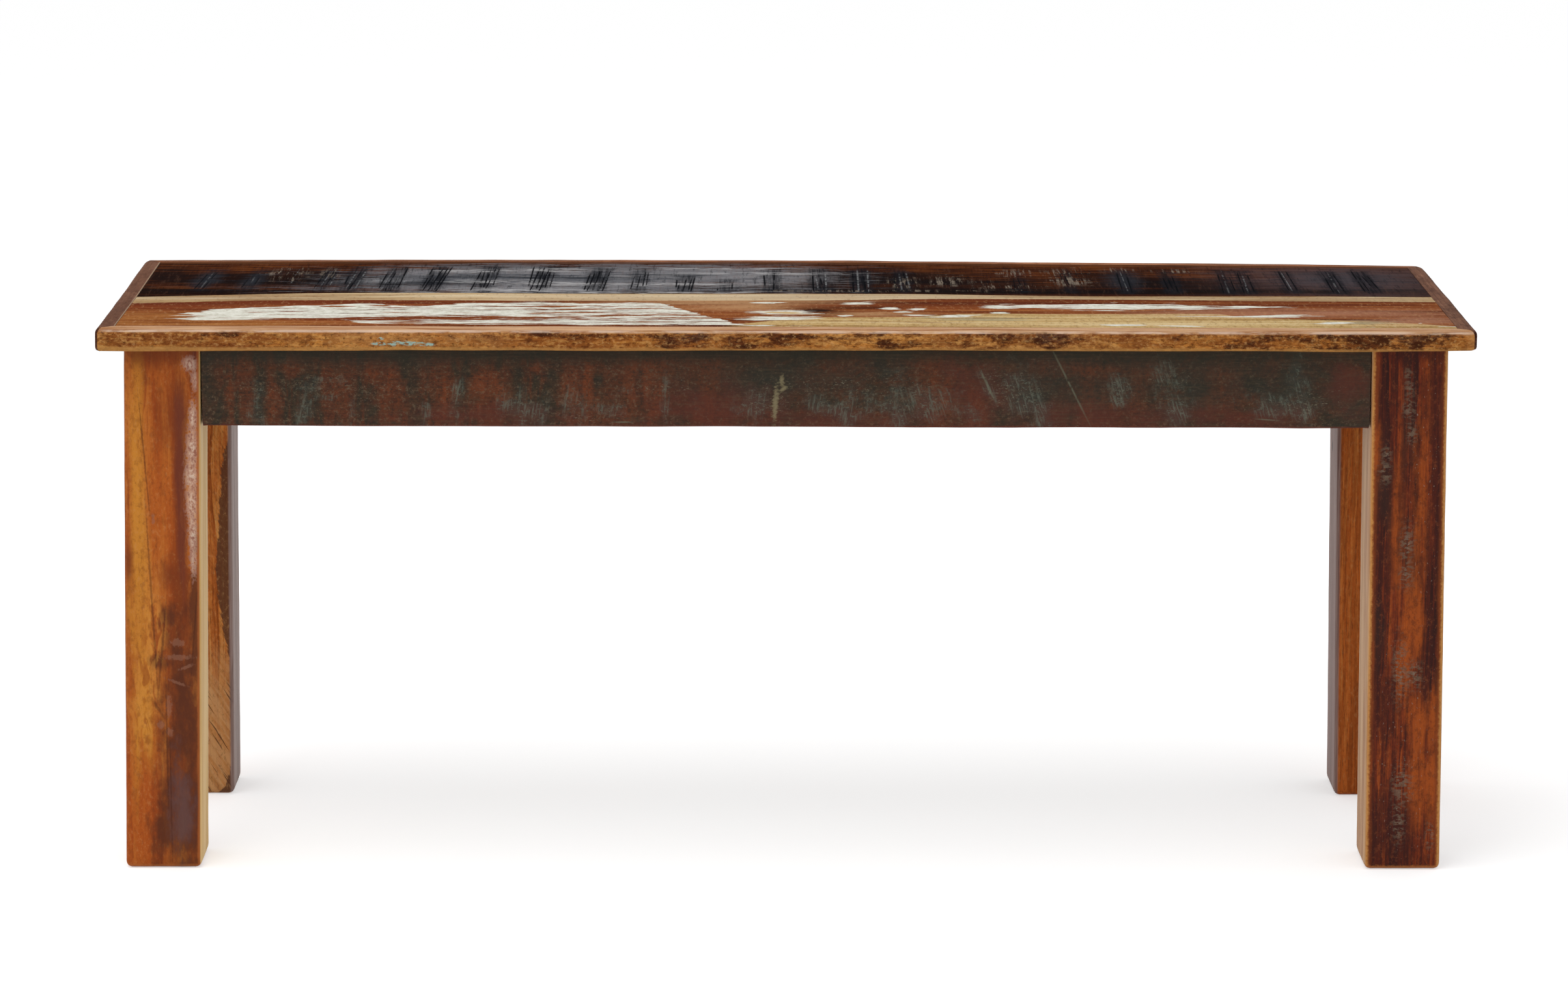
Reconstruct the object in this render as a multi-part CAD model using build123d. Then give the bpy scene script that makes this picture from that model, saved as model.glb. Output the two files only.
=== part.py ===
from build123d import *
import os

# Wooden bench of reclaimed boards: two seat boards held in a mitred edging,
# four square legs, and four aprons tenoned into the legs.
# The origin is on the floor under the middle of the seat. X runs along the
# bench, the front faces -Y, and Z is up. All sizes are in millimetres.

# Overall size
seat_length = 1100.0
seat_depth = 350.0
seat_height = 450.0

# Edging round the seat, four strips as thick as the boards they hold
seat_thickness = 18.0
front_strip_width = 12.0
rear_strip_width = 16.0
end_strip_width = 16.0
upper_arris = 5.5
lower_chamfer = 2.5
front_left_corner = 7.0
front_right_corner = 8.5
rear_left_corner = 8.0
rear_right_corner = 12.5

# Tongue on the boards' outer edges and ends, in a groove of the edging
tongue_thickness = 6.0
tongue_depth = 6.0
tongue_side_clearance = 0.1
tongue_end_clearance = 0.5

# Line where the two seat boards meet, scribed by hand. It lies behind the
# middle of the bench by joint_setback and wanders by shares of joint_bow,
# at shares of half the boards' length.
joint_setback = 2.5
joint_bow = 25.0
joint_line_shares = [
    (-1.0, -0.9), (-0.85, -0.5), (-0.68, -0.1), (-0.45, 0.02), (0.0, 0.0),
    (0.18, -0.05), (0.42, -0.37), (0.65, -0.36), (1.0, -0.4),
]

# Loose tenons across that joint, in pockets of both boards
key_length = 50.0
key_width = 36.0
key_thickness = 6.0
key_clearance = 0.1
key_end_clearance = 1.0
key_place_shares = [-0.8, -0.48, -0.16, 0.16, 0.48, 0.8]

# Legs
leg_side = 62.0
leg_arris = 3.5
foot_arris = 5.5
end_overhang = 20.0
side_overhang = 24.0

# Aprons under the seat, set back a little behind the legs' outer faces
apron_height = 67.0
apron_thickness = 22.0
apron_setback = 2.5
apron_chamfer = 1.2

# Haunched tenons on the aprons, mitred where two meet inside a leg
tenon_thickness = 8.0
tenon_lower_shoulder = 10.0
haunch_height = 16.0
haunch_depth = 9.0
mortise_clearance = 0.1
mortise_end_clearance = 1.0

# Corner blocks, notched round the leg and fitted between two aprons
block_reach = 60.0
block_height = 30.0

# Bearer under the middle of the seat, stub tenoned into the long aprons
bearer_width = 60.0
bearer_height = 26.0
bearer_tenon_thickness = 10.0
bearer_tenon_depth = 8.0
bearer_tenon_shoulder = 8.0

# Countersunk wood screws
screw_diameter = 4.0
screw_head_diameter = 8.0
screw_head_height = 2.6
screw_clearance = 0.1
screw_seat_bite = 12.0
screw_leg_bite = 28.0
block_screw_run = 22.0
block_screw_inset = 14.0
bearer_screw_shares = [-0.5, 0.5]

# Extra length of a cut beyond the face it starts from
cut_overrun = 2.0

# Sides of the bench's middle that each corner lies on, along X and Y
corner_sides = {"front_left": (-1, -1), "front_right": (1, -1), "rear_left": (-1, 1), "rear_right": (1, 1)}

# Places worked out from the sizes above
seat_underside = seat_height - seat_thickness
seat_middle_height = seat_underside + seat_thickness / 2
half_length = seat_length / 2
half_depth = seat_depth / 2
board_left = -half_length + end_strip_width
board_right = half_length - end_strip_width
board_front = -half_depth + front_strip_width
board_rear = half_depth - rear_strip_width
board_half_length = (board_right - board_left) / 2
leg_reach = half_length - end_overhang
leg_spread = half_depth - side_overhang
leg_left = -leg_reach
leg_front = -leg_spread
apron_bottom = seat_underside - apron_height
apron_inner = apron_setback + apron_thickness
tenon_near = apron_setback + (apron_thickness - tenon_thickness) / 2
tenon_far = tenon_near + tenon_thickness
tenon_bottom = apron_bottom + tenon_lower_shoulder
tenon_top = seat_underside - haunch_height
bearer_middle_height = seat_underside - bearer_height / 2
bearer_span = 2 * (leg_spread - apron_inner)


def block(x_range, y_range, z_range):
    """Box between pairs of coordinates."""
    size = [high - low for low, high in (x_range, y_range, z_range)]
    corner = Pos(x_range[0], y_range[0], z_range[0])
    return corner * Box(*size, align=(Align.MIN, Align.MIN, Align.MIN))


def prism(points, z_range):
    """Upright prism on a plan outline."""
    outline = make_face(Polyline(*points, close=True))
    return Pos(0, 0, z_range[0]) * extrude(outline, z_range[1] - z_range[0])


def at_corners(piece):
    """The front left piece, and its images at the other three corners."""
    return {
        "front_left": piece,
        "front_right": mirror(piece, about=Plane.YZ),
        "rear_left": mirror(piece, about=Plane.XZ),
        "rear_right": Rot(0, 0, 180) * piece,
    }


def joint_place(along_share):
    """Distance from the bench's middle to the board joint, at a share of the boards' half length."""
    for (low, low_bow), (high, high_bow) in zip(joint_line_shares, joint_line_shares[1:]):
        if along_share <= high:
            part = (along_share - low) / (high - low)
            return joint_setback + joint_bow * (low_bow + part * (high_bow - low_bow))
    return joint_setback + joint_bow * joint_line_shares[-1][1]


# Fasteners

def screw(length, grow=0.0):
    """Countersunk screw with its head's face at the origin, pointing down, or the hole for it."""
    shank = screw_diameter / 2 + grow
    head = screw_head_diameter / 2 + grow
    depth = length + grow
    outline = [(0, 0), (head, 0), (shank, -screw_head_height), (shank, -depth), (0, -depth)]
    profile = make_face(Polyline(*outline, close=True))
    return revolve(Plane.XZ * profile, Axis.Z)


def upright_screws(places, carrier_height, grow=0.0):
    """Screws driven up through a carrier of some height into the seat, at plan places."""
    length = carrier_height + screw_seat_bite
    head_height = seat_underside - carrier_height
    upward = Rot(180, 0, 0) * screw(length, grow)
    return [Pos(x, y, head_height) * upward for x, y in places]


def leg_screw(x_side, y_side, grow=0.0):
    """Screw through a corner block into its leg, along the corner's diagonal."""
    middle = (apron_inner + leg_side + block_reach) / 2
    wood = (block_reach + apron_inner - leg_side) / 2 ** 0.5
    start = (
        x_side * (leg_reach - middle),
        y_side * (leg_spread - middle),
        seat_underside - block_height / 2,
    )
    return Plane(origin=start, z_dir=(-x_side, -y_side, 0)) * screw(wood + screw_leg_bite, grow)


def block_screw(x_side, y_side, grow=0.0):
    """Screw through a corner block's longer arm into the seat."""
    place = (
        x_side * (leg_reach - leg_side - block_screw_run),
        y_side * (leg_spread - apron_inner - block_screw_inset),
    )
    return upright_screws([place], block_height, grow)[0]


def bearer_screws(grow=0.0):
    """Screws through the bearer, one into each seat board, at shares of half its span."""
    places = [(0, share * bearer_span / 2) for share in bearer_screw_shares]
    return upright_screws(places, bearer_height, grow)


def seat_screw_holes():
    """Every screw hole that reaches up into the seat boards."""
    holes = bearer_screws(screw_clearance)
    for x_side, y_side in corner_sides.values():
        holes.append(block_screw(x_side, y_side, screw_clearance))
    return holes


def joint_keys(grow=0.0, end_grow=0.0):
    """Loose tenons lying across the joint between the seat boards."""
    keys = []
    for share in key_place_shares:
        key = Box(key_width + 2 * grow, key_length + 2 * end_grow, key_thickness + 2 * grow)
        keys.append(Pos(share * board_half_length, joint_place(share), seat_middle_height) * key)
    return keys


# Seat

def seat_blank():
    """The seat's outside: a slab with four different plan corners and an eased edge."""
    radii = {
        "front_left": front_left_corner,
        "front_right": front_right_corner,
        "rear_left": rear_left_corner,
        "rear_right": rear_right_corner,
    }
    slab = block((-half_length, half_length), (-half_depth, half_depth), (seat_underside, seat_height))
    for name, radius in radii.items():
        x_side, y_side = corner_sides[name]
        corner = (x_side * half_length, y_side * half_depth, seat_middle_height)
        nearest = slab.edges().filter_by(Axis.Z).sort_by_distance(corner)[0]
        slab = fillet(nearest, radius)
    slab = fillet(slab.faces().sort_by(Axis.Z)[-1].edges(), upper_arris)
    return chamfer(slab.faces().sort_by(Axis.Z)[0].edges(), lower_chamfer)


def tongue_slab(side_clearance, end_clearance):
    """Thin slab that reaches past the boards on all sides: their tongue, or the groove for it."""
    reach = tongue_depth + end_clearance
    half = tongue_thickness / 2 + side_clearance
    return block(
        (board_left - reach, board_right + reach),
        (board_front - reach, board_rear + reach),
        (seat_middle_height - half, seat_middle_height + half),
    )


def edging_strips():
    """Four strips cut from the seat's outside, mitred at the corners and grooved inside."""
    inner = {
        "front_left": (board_left, board_front),
        "front_right": (board_right, board_front),
        "rear_left": (board_left, board_rear),
        "rear_right": (board_right, board_rear),
    }
    outer = {
        name: (x_side * half_length, y_side * half_depth)
        for name, (x_side, y_side) in corner_sides.items()
    }
    ends = {
        "edging_front": ("front_left", "front_right"),
        "edging_rear": ("rear_right", "rear_left"),
        "edging_left": ("rear_left", "front_left"),
        "edging_right": ("front_right", "rear_right"),
    }
    ring = seat_blank() - tongue_slab(tongue_side_clearance, tongue_end_clearance)
    strips = {}
    for name, (first, last) in ends.items():
        outline = [outer[first], outer[last], inner[last], inner[first]]
        strips[name] = ring & prism(outline, (seat_underside, seat_height))
    return strips


def front_board_region():
    """Everything in front of the scribed joint between the seat boards."""
    line = [
        (share * board_half_length, joint_setback + joint_bow * bow_share)
        for share, bow_share in joint_line_shares
    ]
    beyond = tongue_depth + cut_overrun
    left_end = (line[0][0] - beyond, line[0][1])
    right_end = (line[-1][0] + beyond, line[-1][1])
    front = -half_depth - cut_overrun
    sides = Polyline(line[-1], right_end, (right_end[0], front), (left_end[0], front), left_end, line[0])
    outline = make_face(Spline(*line) + sides)
    return Pos(0, 0, seat_underside) * extrude(outline, seat_thickness)


def seat_boards():
    """The two boards that fill the edging, with their tongues, key pockets and screw holes."""
    panel = block((board_left, board_right), (board_front, board_rear), (seat_underside, seat_height))
    panel += tongue_slab(0, 0)
    panel -= joint_keys(key_clearance, key_end_clearance)
    panel -= seat_screw_holes()
    region = front_board_region()
    return {"seat_board_front": panel & region, "seat_board_rear": panel - region}


# Legs and aprons

def leg():
    """Front left leg: rounded arrises, and mortises for two tenons that meet inside it."""
    blank = block((0, leg_side), (0, leg_side), (0, seat_underside))
    blank = fillet(blank.edges().filter_by(Axis.Z), leg_arris)
    blank = fillet(blank.faces().sort_by(Axis.Z)[0].edges(), foot_arris)
    near = tenon_near - mortise_clearance
    far = tenon_far + mortise_clearance
    open_side = leg_side + cut_overrun
    haunch_start = leg_side - haunch_depth - mortise_end_clearance
    tenon_heights = (tenon_bottom - mortise_clearance, tenon_top + mortise_clearance)
    haunch_heights = (tenon_top, seat_underside + cut_overrun)
    blank -= block((near, open_side), (near, far), tenon_heights)
    blank -= block((near, far), (near, open_side), tenon_heights)
    blank -= block((haunch_start, open_side), (near, far), haunch_heights)
    blank -= block((near, far), (haunch_start, open_side), haunch_heights)
    return Pos(leg_left, leg_front, 0) * blank - leg_screw(*corner_sides["front_left"], screw_clearance)


def apron(span):
    """Apron between two legs, centred on X with its outer face on the XZ plane."""
    end = span / 2
    rail = block((-end, end), (0, apron_thickness), (apron_bottom, seat_underside))
    rail = chamfer(rail.faces().sort_by(Axis.Z)[0].edges().filter_by(Axis.X), apron_chamfer)
    near = tenon_near - apron_setback
    far = tenon_far - apron_setback
    reach = leg_side - mortise_end_clearance
    tenon = prism(
        [(end, near), (end + reach - tenon_near, near), (end + reach - tenon_far, far), (end, far)],
        (tenon_bottom, tenon_top),
    )
    haunch = block((end, end + haunch_depth), (near, far), (tenon_top, seat_underside))
    right_end = tenon + haunch
    return rail + right_end + mirror(right_end, about=Plane.YZ)


def long_apron():
    """Front apron, with the mortise for the bearer in its inner face."""
    rail = Pos(0, leg_front + apron_setback, 0) * apron(2 * (leg_reach - leg_side))
    half_width = bearer_width / 2 - bearer_tenon_shoulder + mortise_clearance
    half_height = bearer_tenon_thickness / 2 + mortise_clearance
    inner_face = leg_front + apron_inner
    return rail - block(
        (-half_width, half_width),
        (inner_face - bearer_tenon_depth - mortise_end_clearance, inner_face + cut_overrun),
        (bearer_middle_height - half_height, bearer_middle_height + half_height),
    )


def end_apron():
    """Left apron, between the front and the rear leg."""
    rail = Rot(0, 0, -90) * apron(2 * (leg_spread - leg_side))
    return Pos(leg_left + apron_setback, 0, 0) * rail


# Supports under the seat

def corner_block():
    """Front left glue block: fits the aprons, and is notched round the leg's inner corner."""
    reach = leg_side + block_reach
    outline = [
        (leg_side, apron_inner), (reach, apron_inner), (apron_inner, reach),
        (apron_inner, leg_side), (leg_side, leg_side),
    ]
    piece = Pos(leg_left, leg_front, 0) * prism(outline, (seat_underside - block_height, seat_underside))
    x_side, y_side = corner_sides["front_left"]
    return piece - [
        leg_screw(x_side, y_side, screw_clearance),
        block_screw(x_side, y_side, screw_clearance),
    ]


def centre_bearer():
    """Cross rail under both boards, with a stub tenon at each end."""
    half_width = bearer_width / 2
    half_span = bearer_span / 2
    tenon_half_width = half_width - bearer_tenon_shoulder
    tenon_half_span = half_span + bearer_tenon_depth
    tenon_half_height = bearer_tenon_thickness / 2
    rail = block(
        (-half_width, half_width), (-half_span, half_span), (seat_underside - bearer_height, seat_underside)
    )
    rail += block(
        (-tenon_half_width, tenon_half_width),
        (-tenon_half_span, tenon_half_span),
        (bearer_middle_height - tenon_half_height, bearer_middle_height + tenon_half_height),
    )
    return rail - bearer_screws(screw_clearance)


def nodes():
    """Every sub-part by name."""
    parts = {}
    parts.update(edging_strips())
    parts.update(seat_boards())
    parts["seat_joint_keys"] = Compound(children=joint_keys())
    for corner, piece in at_corners(leg()).items():
        parts["leg_" + corner] = piece
    parts["apron_front"] = long_apron()
    parts["apron_rear"] = mirror(parts["apron_front"], about=Plane.XZ)
    parts["apron_left"] = end_apron()
    parts["apron_right"] = mirror(parts["apron_left"], about=Plane.YZ)
    for corner, piece in at_corners(corner_block()).items():
        parts["corner_block_" + corner] = piece
    parts["centre_bearer"] = centre_bearer()
    parts["corner_block_screws"] = Compound(children=[block_screw(*side) for side in corner_sides.values()])
    parts["leg_screws"] = Compound(children=[leg_screw(*side) for side in corner_sides.values()])
    parts["bearer_screws"] = Compound(children=bearer_screws())
    return parts


os.makedirs("parts", exist_ok=True)
for name, piece in nodes().items():
    export_step(piece, "parts/" + name + ".step")
    print(name, len(piece.solids()), round(piece.volume))
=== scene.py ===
import math
from contextlib import contextmanager

import bmesh
import bpy
import numpy as np
from mathutils import Euler, Matrix, Vector


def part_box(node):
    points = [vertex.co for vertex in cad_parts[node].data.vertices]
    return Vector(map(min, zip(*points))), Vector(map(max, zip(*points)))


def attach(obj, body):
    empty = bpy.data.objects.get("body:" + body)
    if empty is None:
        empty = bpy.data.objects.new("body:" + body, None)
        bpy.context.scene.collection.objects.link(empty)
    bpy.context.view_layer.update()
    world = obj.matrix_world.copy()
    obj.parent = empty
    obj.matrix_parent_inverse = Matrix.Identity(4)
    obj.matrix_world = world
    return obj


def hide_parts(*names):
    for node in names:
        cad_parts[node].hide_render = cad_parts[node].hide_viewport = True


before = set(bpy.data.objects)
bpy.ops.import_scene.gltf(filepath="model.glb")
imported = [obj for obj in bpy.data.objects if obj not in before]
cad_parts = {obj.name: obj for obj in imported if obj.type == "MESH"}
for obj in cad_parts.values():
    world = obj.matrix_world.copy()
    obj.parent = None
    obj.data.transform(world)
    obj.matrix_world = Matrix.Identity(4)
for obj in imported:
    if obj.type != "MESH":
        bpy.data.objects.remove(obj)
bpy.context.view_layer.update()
mm = 0.001
tiny = 1e-5  # nearer than this, two places are the same


# Handling a piece on the bench top

def takeUp(piece):
    bpy.ops.object.select_all(action="DESELECT")
    piece.select_set(True)
    bpy.context.view_layer.objects.active = piece


@contextmanager
def editing(piece):
    takeUp(piece)
    bpy.ops.object.mode_set(mode="EDIT")
    yield
    bpy.ops.object.mode_set(mode="OBJECT")


def sawBlank(name, low, high):
    # a squared blank between two corners, its place kept in its mesh
    low, high = Vector(low), Vector(high)
    bpy.ops.object.select_all(action="DESELECT")
    bpy.ops.mesh.primitive_cube_add(size=1, location=(low + high) / 2)
    piece = bpy.context.active_object
    piece.name = piece.data.name = name
    piece.scale = high - low
    bpy.ops.object.transform_apply(location=True, rotation=False, scale=True)
    return piece


def pick(piece, kind, test):
    # selects the faces, edges or points that pass the test, in edit mode
    mesh = bmesh.from_edit_mesh(piece.data)
    bpy.ops.mesh.select_mode(type=kind)
    bpy.ops.mesh.select_all(action="DESELECT")
    for part in {"VERT": mesh.verts, "EDGE": mesh.edges, "FACE": mesh.faces}[kind]:
        if test(part):
            part.select_set(True)
    mesh.select_flush_mode()
    bmesh.update_edit_mesh(piece.data)


def runsAlong(edge, axis):
    way = edge.verts[1].co - edge.verts[0].co
    return abs(way[axis]) > 0.999 * way.length


def easeEdges(piece, size, steps, test):
    # rounds or chamfers the edges that pass the test
    with editing(piece):
        pick(piece, "EDGE", test)
        bpy.ops.mesh.bevel(offset=size, segments=steps, profile=0.5, affect="EDGES")


def easeByWidth(piece, steps, widthOf):
    # rounds every edge by its own width, so that three can meet in one corner
    takeUp(piece)
    widths = [widthOf(piece.data.vertices[e.vertices[0]].co, piece.data.vertices[e.vertices[1]].co)
              for e in piece.data.edges]
    weight = piece.data.attributes.new("bevel_weight_edge", "FLOAT", "EDGE")
    weight.data.foreach_set("value", [w / max(widths) for w in widths])
    bevel = piece.modifiers.new("easedEdges", "BEVEL")
    bevel.width, bevel.segments, bevel.limit_method = max(widths), steps, "WEIGHT"
    bpy.ops.object.modifier_apply(modifier=bevel.name)
    piece.data.attributes.remove(piece.data.attributes["bevel_weight_edge"])


def crossCut(piece, axis, pitch):
    # rings of edges across a box-shaped piece, about one pitch apart
    mostCuts = 100  # that the operator takes at once
    with editing(piece):
        while True:
            mesh = bmesh.from_edit_mesh(piece.data)
            longest = max(e.calc_length() for e in mesh.edges if runsAlong(e, axis))
            cuts = min(mostCuts, round(longest / pitch) - 1)
            if cuts < 1:
                break
            pick(piece, "EDGE", lambda e: runsAlong(e, axis) and e.calc_length() > longest * 0.5)
            bpy.ops.mesh.subdivide(number_cuts=cuts)


def sliceAt(piece, places, facing):
    # cuts a piece of any shape across, at each of these places
    with editing(piece):
        bpy.ops.mesh.select_mode(type="VERT")
        for place in places:
            bpy.ops.mesh.select_all(action="SELECT")
            bpy.ops.mesh.bisect(plane_co=place, plane_no=facing)


def trim(piece, through, away):
    # saws off what lies past a plane, and closes the end
    with editing(piece):
        bpy.ops.mesh.select_all(action="SELECT")
        bpy.ops.mesh.bisect(plane_co=through, plane_no=away, use_fill=True, clear_outer=True)


def copyOf(piece, name):
    takeUp(piece)
    bpy.ops.object.duplicate()
    made = bpy.context.active_object
    made.name = made.data.name = name
    return made


def wear(piece, name, depth, size, test=None):
    # an uneven surface: a cloud texture of that size in mm, at most depth mm inwards
    offMiddle = 3.3  # of its sizes, because the cloud is even about its own middle
    takeUp(piece)
    cloud = bpy.data.textures.new(name, "CLOUDS")
    cloud.noise_scale, cloud.noise_depth = 1.0, 2
    bpy.ops.object.empty_add(location=Vector(size) * mm * offMiddle)
    stretch = bpy.context.active_object
    stretch.scale = Vector(size) * mm
    takeUp(piece)
    rough = piece.modifiers.new(name, "DISPLACE")
    rough.texture, rough.strength, rough.mid_level = cloud, depth * mm, 1.0
    rough.texture_coords, rough.texture_coords_object = "OBJECT", stretch
    if test:
        group = piece.vertex_groups.new(name=name)
        for v in piece.data.vertices:
            share = test(v.co)
            if share > 0:
                group.add([v.index], share, "REPLACE")
        rough.vertex_group = name
    bpy.context.view_layer.update()
    bpy.ops.object.modifier_apply(modifier=rough.name)
    bpy.data.objects.remove(stretch)
    bpy.data.textures.remove(cloud)


def keepOnMesh(piece, name, values):
    kept = piece.data.attributes.new(name, "FLOAT", "POINT")
    kept.data.foreach_set("value", np.asarray(values, np.float32))


# which axes run across and up on a face, and which one looks out of it
faceAxes = {"top": (0, 1, 2), "front": (0, 2, 1), "side": (1, 2, 0)}
markDepth = 6  # how far a mark reaches in from its face, mm
# the faces that carry marks, and where each lies, mm
seatTop, stripFace, legFace, apronFace = ("top", 450), ("front", -175), ("front", -151), ("front", -148.5)
legSide = ("side", 468)


def layOut(piece, level, marks):
    # keeps on the mesh, for each kind of mark, how far a point is from its nearest middle: 1 is its edge.
    # A mark is an ellipse on one face: across, up, half width and half height in mm, and its turn in degrees
    face, depth = level
    places = np.array([v.co for v in piece.data.vertices]) / mm
    first, second, third = faceAxes[face]
    blend = 7  # the lower, the sooner near marks run into each other
    for name, ellipses in marks.items():
        total = np.zeros(len(places))
        for across, up, wide, high, *turn in ellipses:
            c, s = math.cos(math.radians(sum(turn))), math.sin(math.radians(sum(turn)))
            right, rise = places[:, first] - across, places[:, second] - up
            reach = np.sqrt(((right * c + rise * s) / wide) ** 2 + ((rise * c - right * s) / high) ** 2 +
                            ((places[:, third] - depth) / markDepth) ** 2)
            total += np.exp(-blend * np.minimum(reach, 4))
        keepOnMesh(piece, name, np.log(np.maximum(total, 1e-9)) / -blend)


def finishPiece(piece, node, slotName, material, look=None):
    # smooth faces, its marks, its finish, and its place in the frame
    if look:
        layOut(piece, look["face"], look["marks"])
    takeUp(piece)
    bpy.ops.object.shade_smooth_by_angle(angle=math.radians(38))
    piece.vertex_groups.clear()
    piece.data.materials.clear()
    piece.data.materials.append(material)
    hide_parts(node)
    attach(piece, "root")


# Mixing a material

mix = {}  # what is being mixed: its nodes, its coordinates, and its colour, roughness and height so far


def startNodes(owner):
    # empties the nodes of a material or the world, and goes on there
    owner.use_nodes = True
    owner.node_tree.nodes.clear()
    mix["tree"], mix["owner"] = owner.node_tree, owner
    return owner


def linearColour(code):
    # sRGB hex to the linear colour that a node takes
    parts = [int(code[i:i + 2], 16) / 255 for i in (1, 3, 5)]
    return [p / 12.92 if p <= 0.04045 else ((p + 0.055) / 1.055) ** 2.4 for p in parts] + [1.0]


def addNode(kind, inputs=None, **settings):
    # one node, with its settings, values and links
    made = mix["tree"].nodes.new("ShaderNode" + kind)
    for key, value in settings.items():
        setattr(made, key, value)
    for key, value in (inputs or {}).items():
        if isinstance(value, bpy.types.NodeSocket):
            mix["tree"].links.new(value, made.inputs[key])
        else:
            made.inputs[key].default_value = value
    return made


def streaks(size, cut, seed=0, detail=4.0, rough=0.55, bend=0.0, place=None):
    # cloudy streaks of that size in mm; cut is the noise level where they start and are full
    spread = addNode("Mapping", {0: mix["place"] if place is None else place, 3: Vector(size) * mm,
                                 1: (seed * 1.37, seed * 0.91, seed * 2.13)}, vector_type="TEXTURE")
    noise = addNode("TexNoise", {"Vector": spread.outputs[0], "Scale": 1.0, "Detail": detail,
                                 "Roughness": rough, "Distortion": bend})
    if cut is None:
        return noise.outputs[0]
    return addNode("MapRange", {"Value": noise.outputs[0], "From Min": cut[0], "From Max": cut[1]},
                   interpolation_type="SMOOTHSTEP").outputs[0]


def edged(value, line, half, ragged, ragAmount):
    # 1 where value is past the line, with an edge that is soft, and ragged where a pattern is given
    if ragged is not None:
        shift = addNode("Math", {0: ragged, 1: 0.5}, operation="SUBTRACT").outputs[0]
        value = addNode("Math", {0: shift, 1: ragAmount * 4, 2: value}, operation="MULTIPLY_ADD").outputs[0]
    return addNode("MapRange", {"Value": value, "From Min": line - half, "From Max": line + half},
                   interpolation_type="SMOOTHSTEP").outputs[0]


def marked(name, soft=0.35, ragged=None, ragAmount=0.8):
    # the marks of that name that are kept on the mesh
    reach = addNode("Attribute", attribute_name=name).outputs["Fac"]
    return edged(reach, 1, -soft, ragged, ragAmount)


def spots(level, places, soft=0.35, ragged=None, ragAmount=0.8):
    # marks too fine for the mesh, given as those are, but placed by nodes
    face, depth = level
    first, second, third = faceAxes[face]
    nearest = None
    for across, up, wide, high, *turn in places:
        centre, half, tilt = Vector(), Vector(), Euler()
        centre[first], centre[second], centre[third] = across, up, depth
        half[first], half[second], half[third] = wide, high, markDepth
        tilt[third] = math.radians(sum(turn)) * (-1 if face == "front" else 1)
        local = addNode("Mapping", {0: mix["place"], 1: centre * mm, 2: tilt, 3: half * mm},
                        vector_type="TEXTURE")
        reach = addNode("VectorMath", {0: local.outputs[0]}, operation="LENGTH").outputs[1]
        nearest = reach if nearest is None else addNode("Math", {0: nearest, 1: reach},
                                                        operation="MINIMUM").outputs[0]
    return edged(nearest, 1, -soft, ragged, ragAmount)


def pastLine(value, line, soft, ragged=None, ragAmount=0.0):
    # 1 where value is past the line, which may be a pattern too; soft and ragAmount are in mm
    past = addNode("Math", {0: value, 1: line}, operation="SUBTRACT").outputs[0]
    return edged(past, 0, soft * mm, ragged, ragAmount * mm)


def lineAlong(value, points, span, rise):
    # a drawn line: the value of a curve through points, over span, times rise, all in mm
    share = addNode("MapRange", {"Value": value, "From Min": span[0] * mm, "From Max": span[1] * mm})
    curve = addNode("FloatCurve", {1: share.outputs[0]})
    line = curve.mapping.curves[0]
    spread = [((x - span[0]) / (span[1] - span[0]), (y - rise[0]) / (rise[1] - rise[0])) for x, y in points]
    line.points[0].location, line.points[1].location = spread[0], spread[-1]
    for x, y in spread[1:-1]:
        line.points.new(x, y)
    curve.mapping.update()
    return addNode("MapRange", {"Value": curve.outputs[0], "To Min": rise[0] * mm,
                                "To Max": rise[1] * mm}).outputs[0]


def both(first, *others):
    for other in others:
        first = addNode("Math", {0: first, 1: other}, operation="MULTIPLY").outputs[0]
    return first


def either(first, *others):
    for other in others:
        first = addNode("Math", {0: first, 1: other}, operation="MAXIMUM").outputs[0]
    return first


def without(first, second):
    return both(first, addNode("Math", {0: 1.0, 1: second}, operation="SUBTRACT").outputs[0])


def toneRamp(value, tones):
    # colours at their shares of the way from dark to light
    ramp = addNode("ValToRGB", {0: value})
    stops = ramp.color_ramp.elements
    while len(stops) < len(tones):
        stops.new(0.5)
    for stop, (share, code) in zip(stops, tones.items()):
        stop.position, stop.color = share, linearColour(code)
    return ramp.outputs[0]


def layOver(mask, colour, roughness=None, lift=0.0, amount=1.0):
    # lays a stain or a film over what is there: its colour, its gloss, and its thickness in mm
    if amount != 1.0:
        mask = both(mask, amount)
    colour = linearColour(colour) if isinstance(colour, str) else colour
    mix["colour"] = addNode("Mix", {0: mask, 6: mix["colour"], 7: colour}, data_type="RGBA").outputs[2]
    if roughness is not None:
        mix["roughness"] = addNode("Mix", {0: mask, 2: mix["roughness"], 3: roughness}).outputs[0]
    if lift:
        mix["height"] = addNode("Math", {0: mask, 1: lift, 2: mix["height"]},
                                operation="MULTIPLY_ADD").outputs[0]


def daub(name, soft, ragged, ragAmount, colour, amount):
    # a stain on the marks of that name
    layOver(marked(name, soft, ragged, ragAmount), colour, amount=amount)


def toothed(size, seed, dark, pale, shares):
    # the tooth of a worn face: dark crumbs of that size in mm, finer than the grain, and pale ones in between
    level = streaks(size, None, seed, 4.0, 0.75)
    for colour, share, (start, full) in zip((dark, pale), shares, ((0.53, 0.66), (0.47, 0.34))):
        crumbs = addNode("MapRange", {"Value": level, "From Min": start, "From Max": full},
                         interpolation_type="SMOOTHSTEP").outputs[0]
        layOver(crumbs, colour, amount=share)


def along(grain, length, width):
    return [length if way == grain else width for way in "XYZ"]


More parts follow.
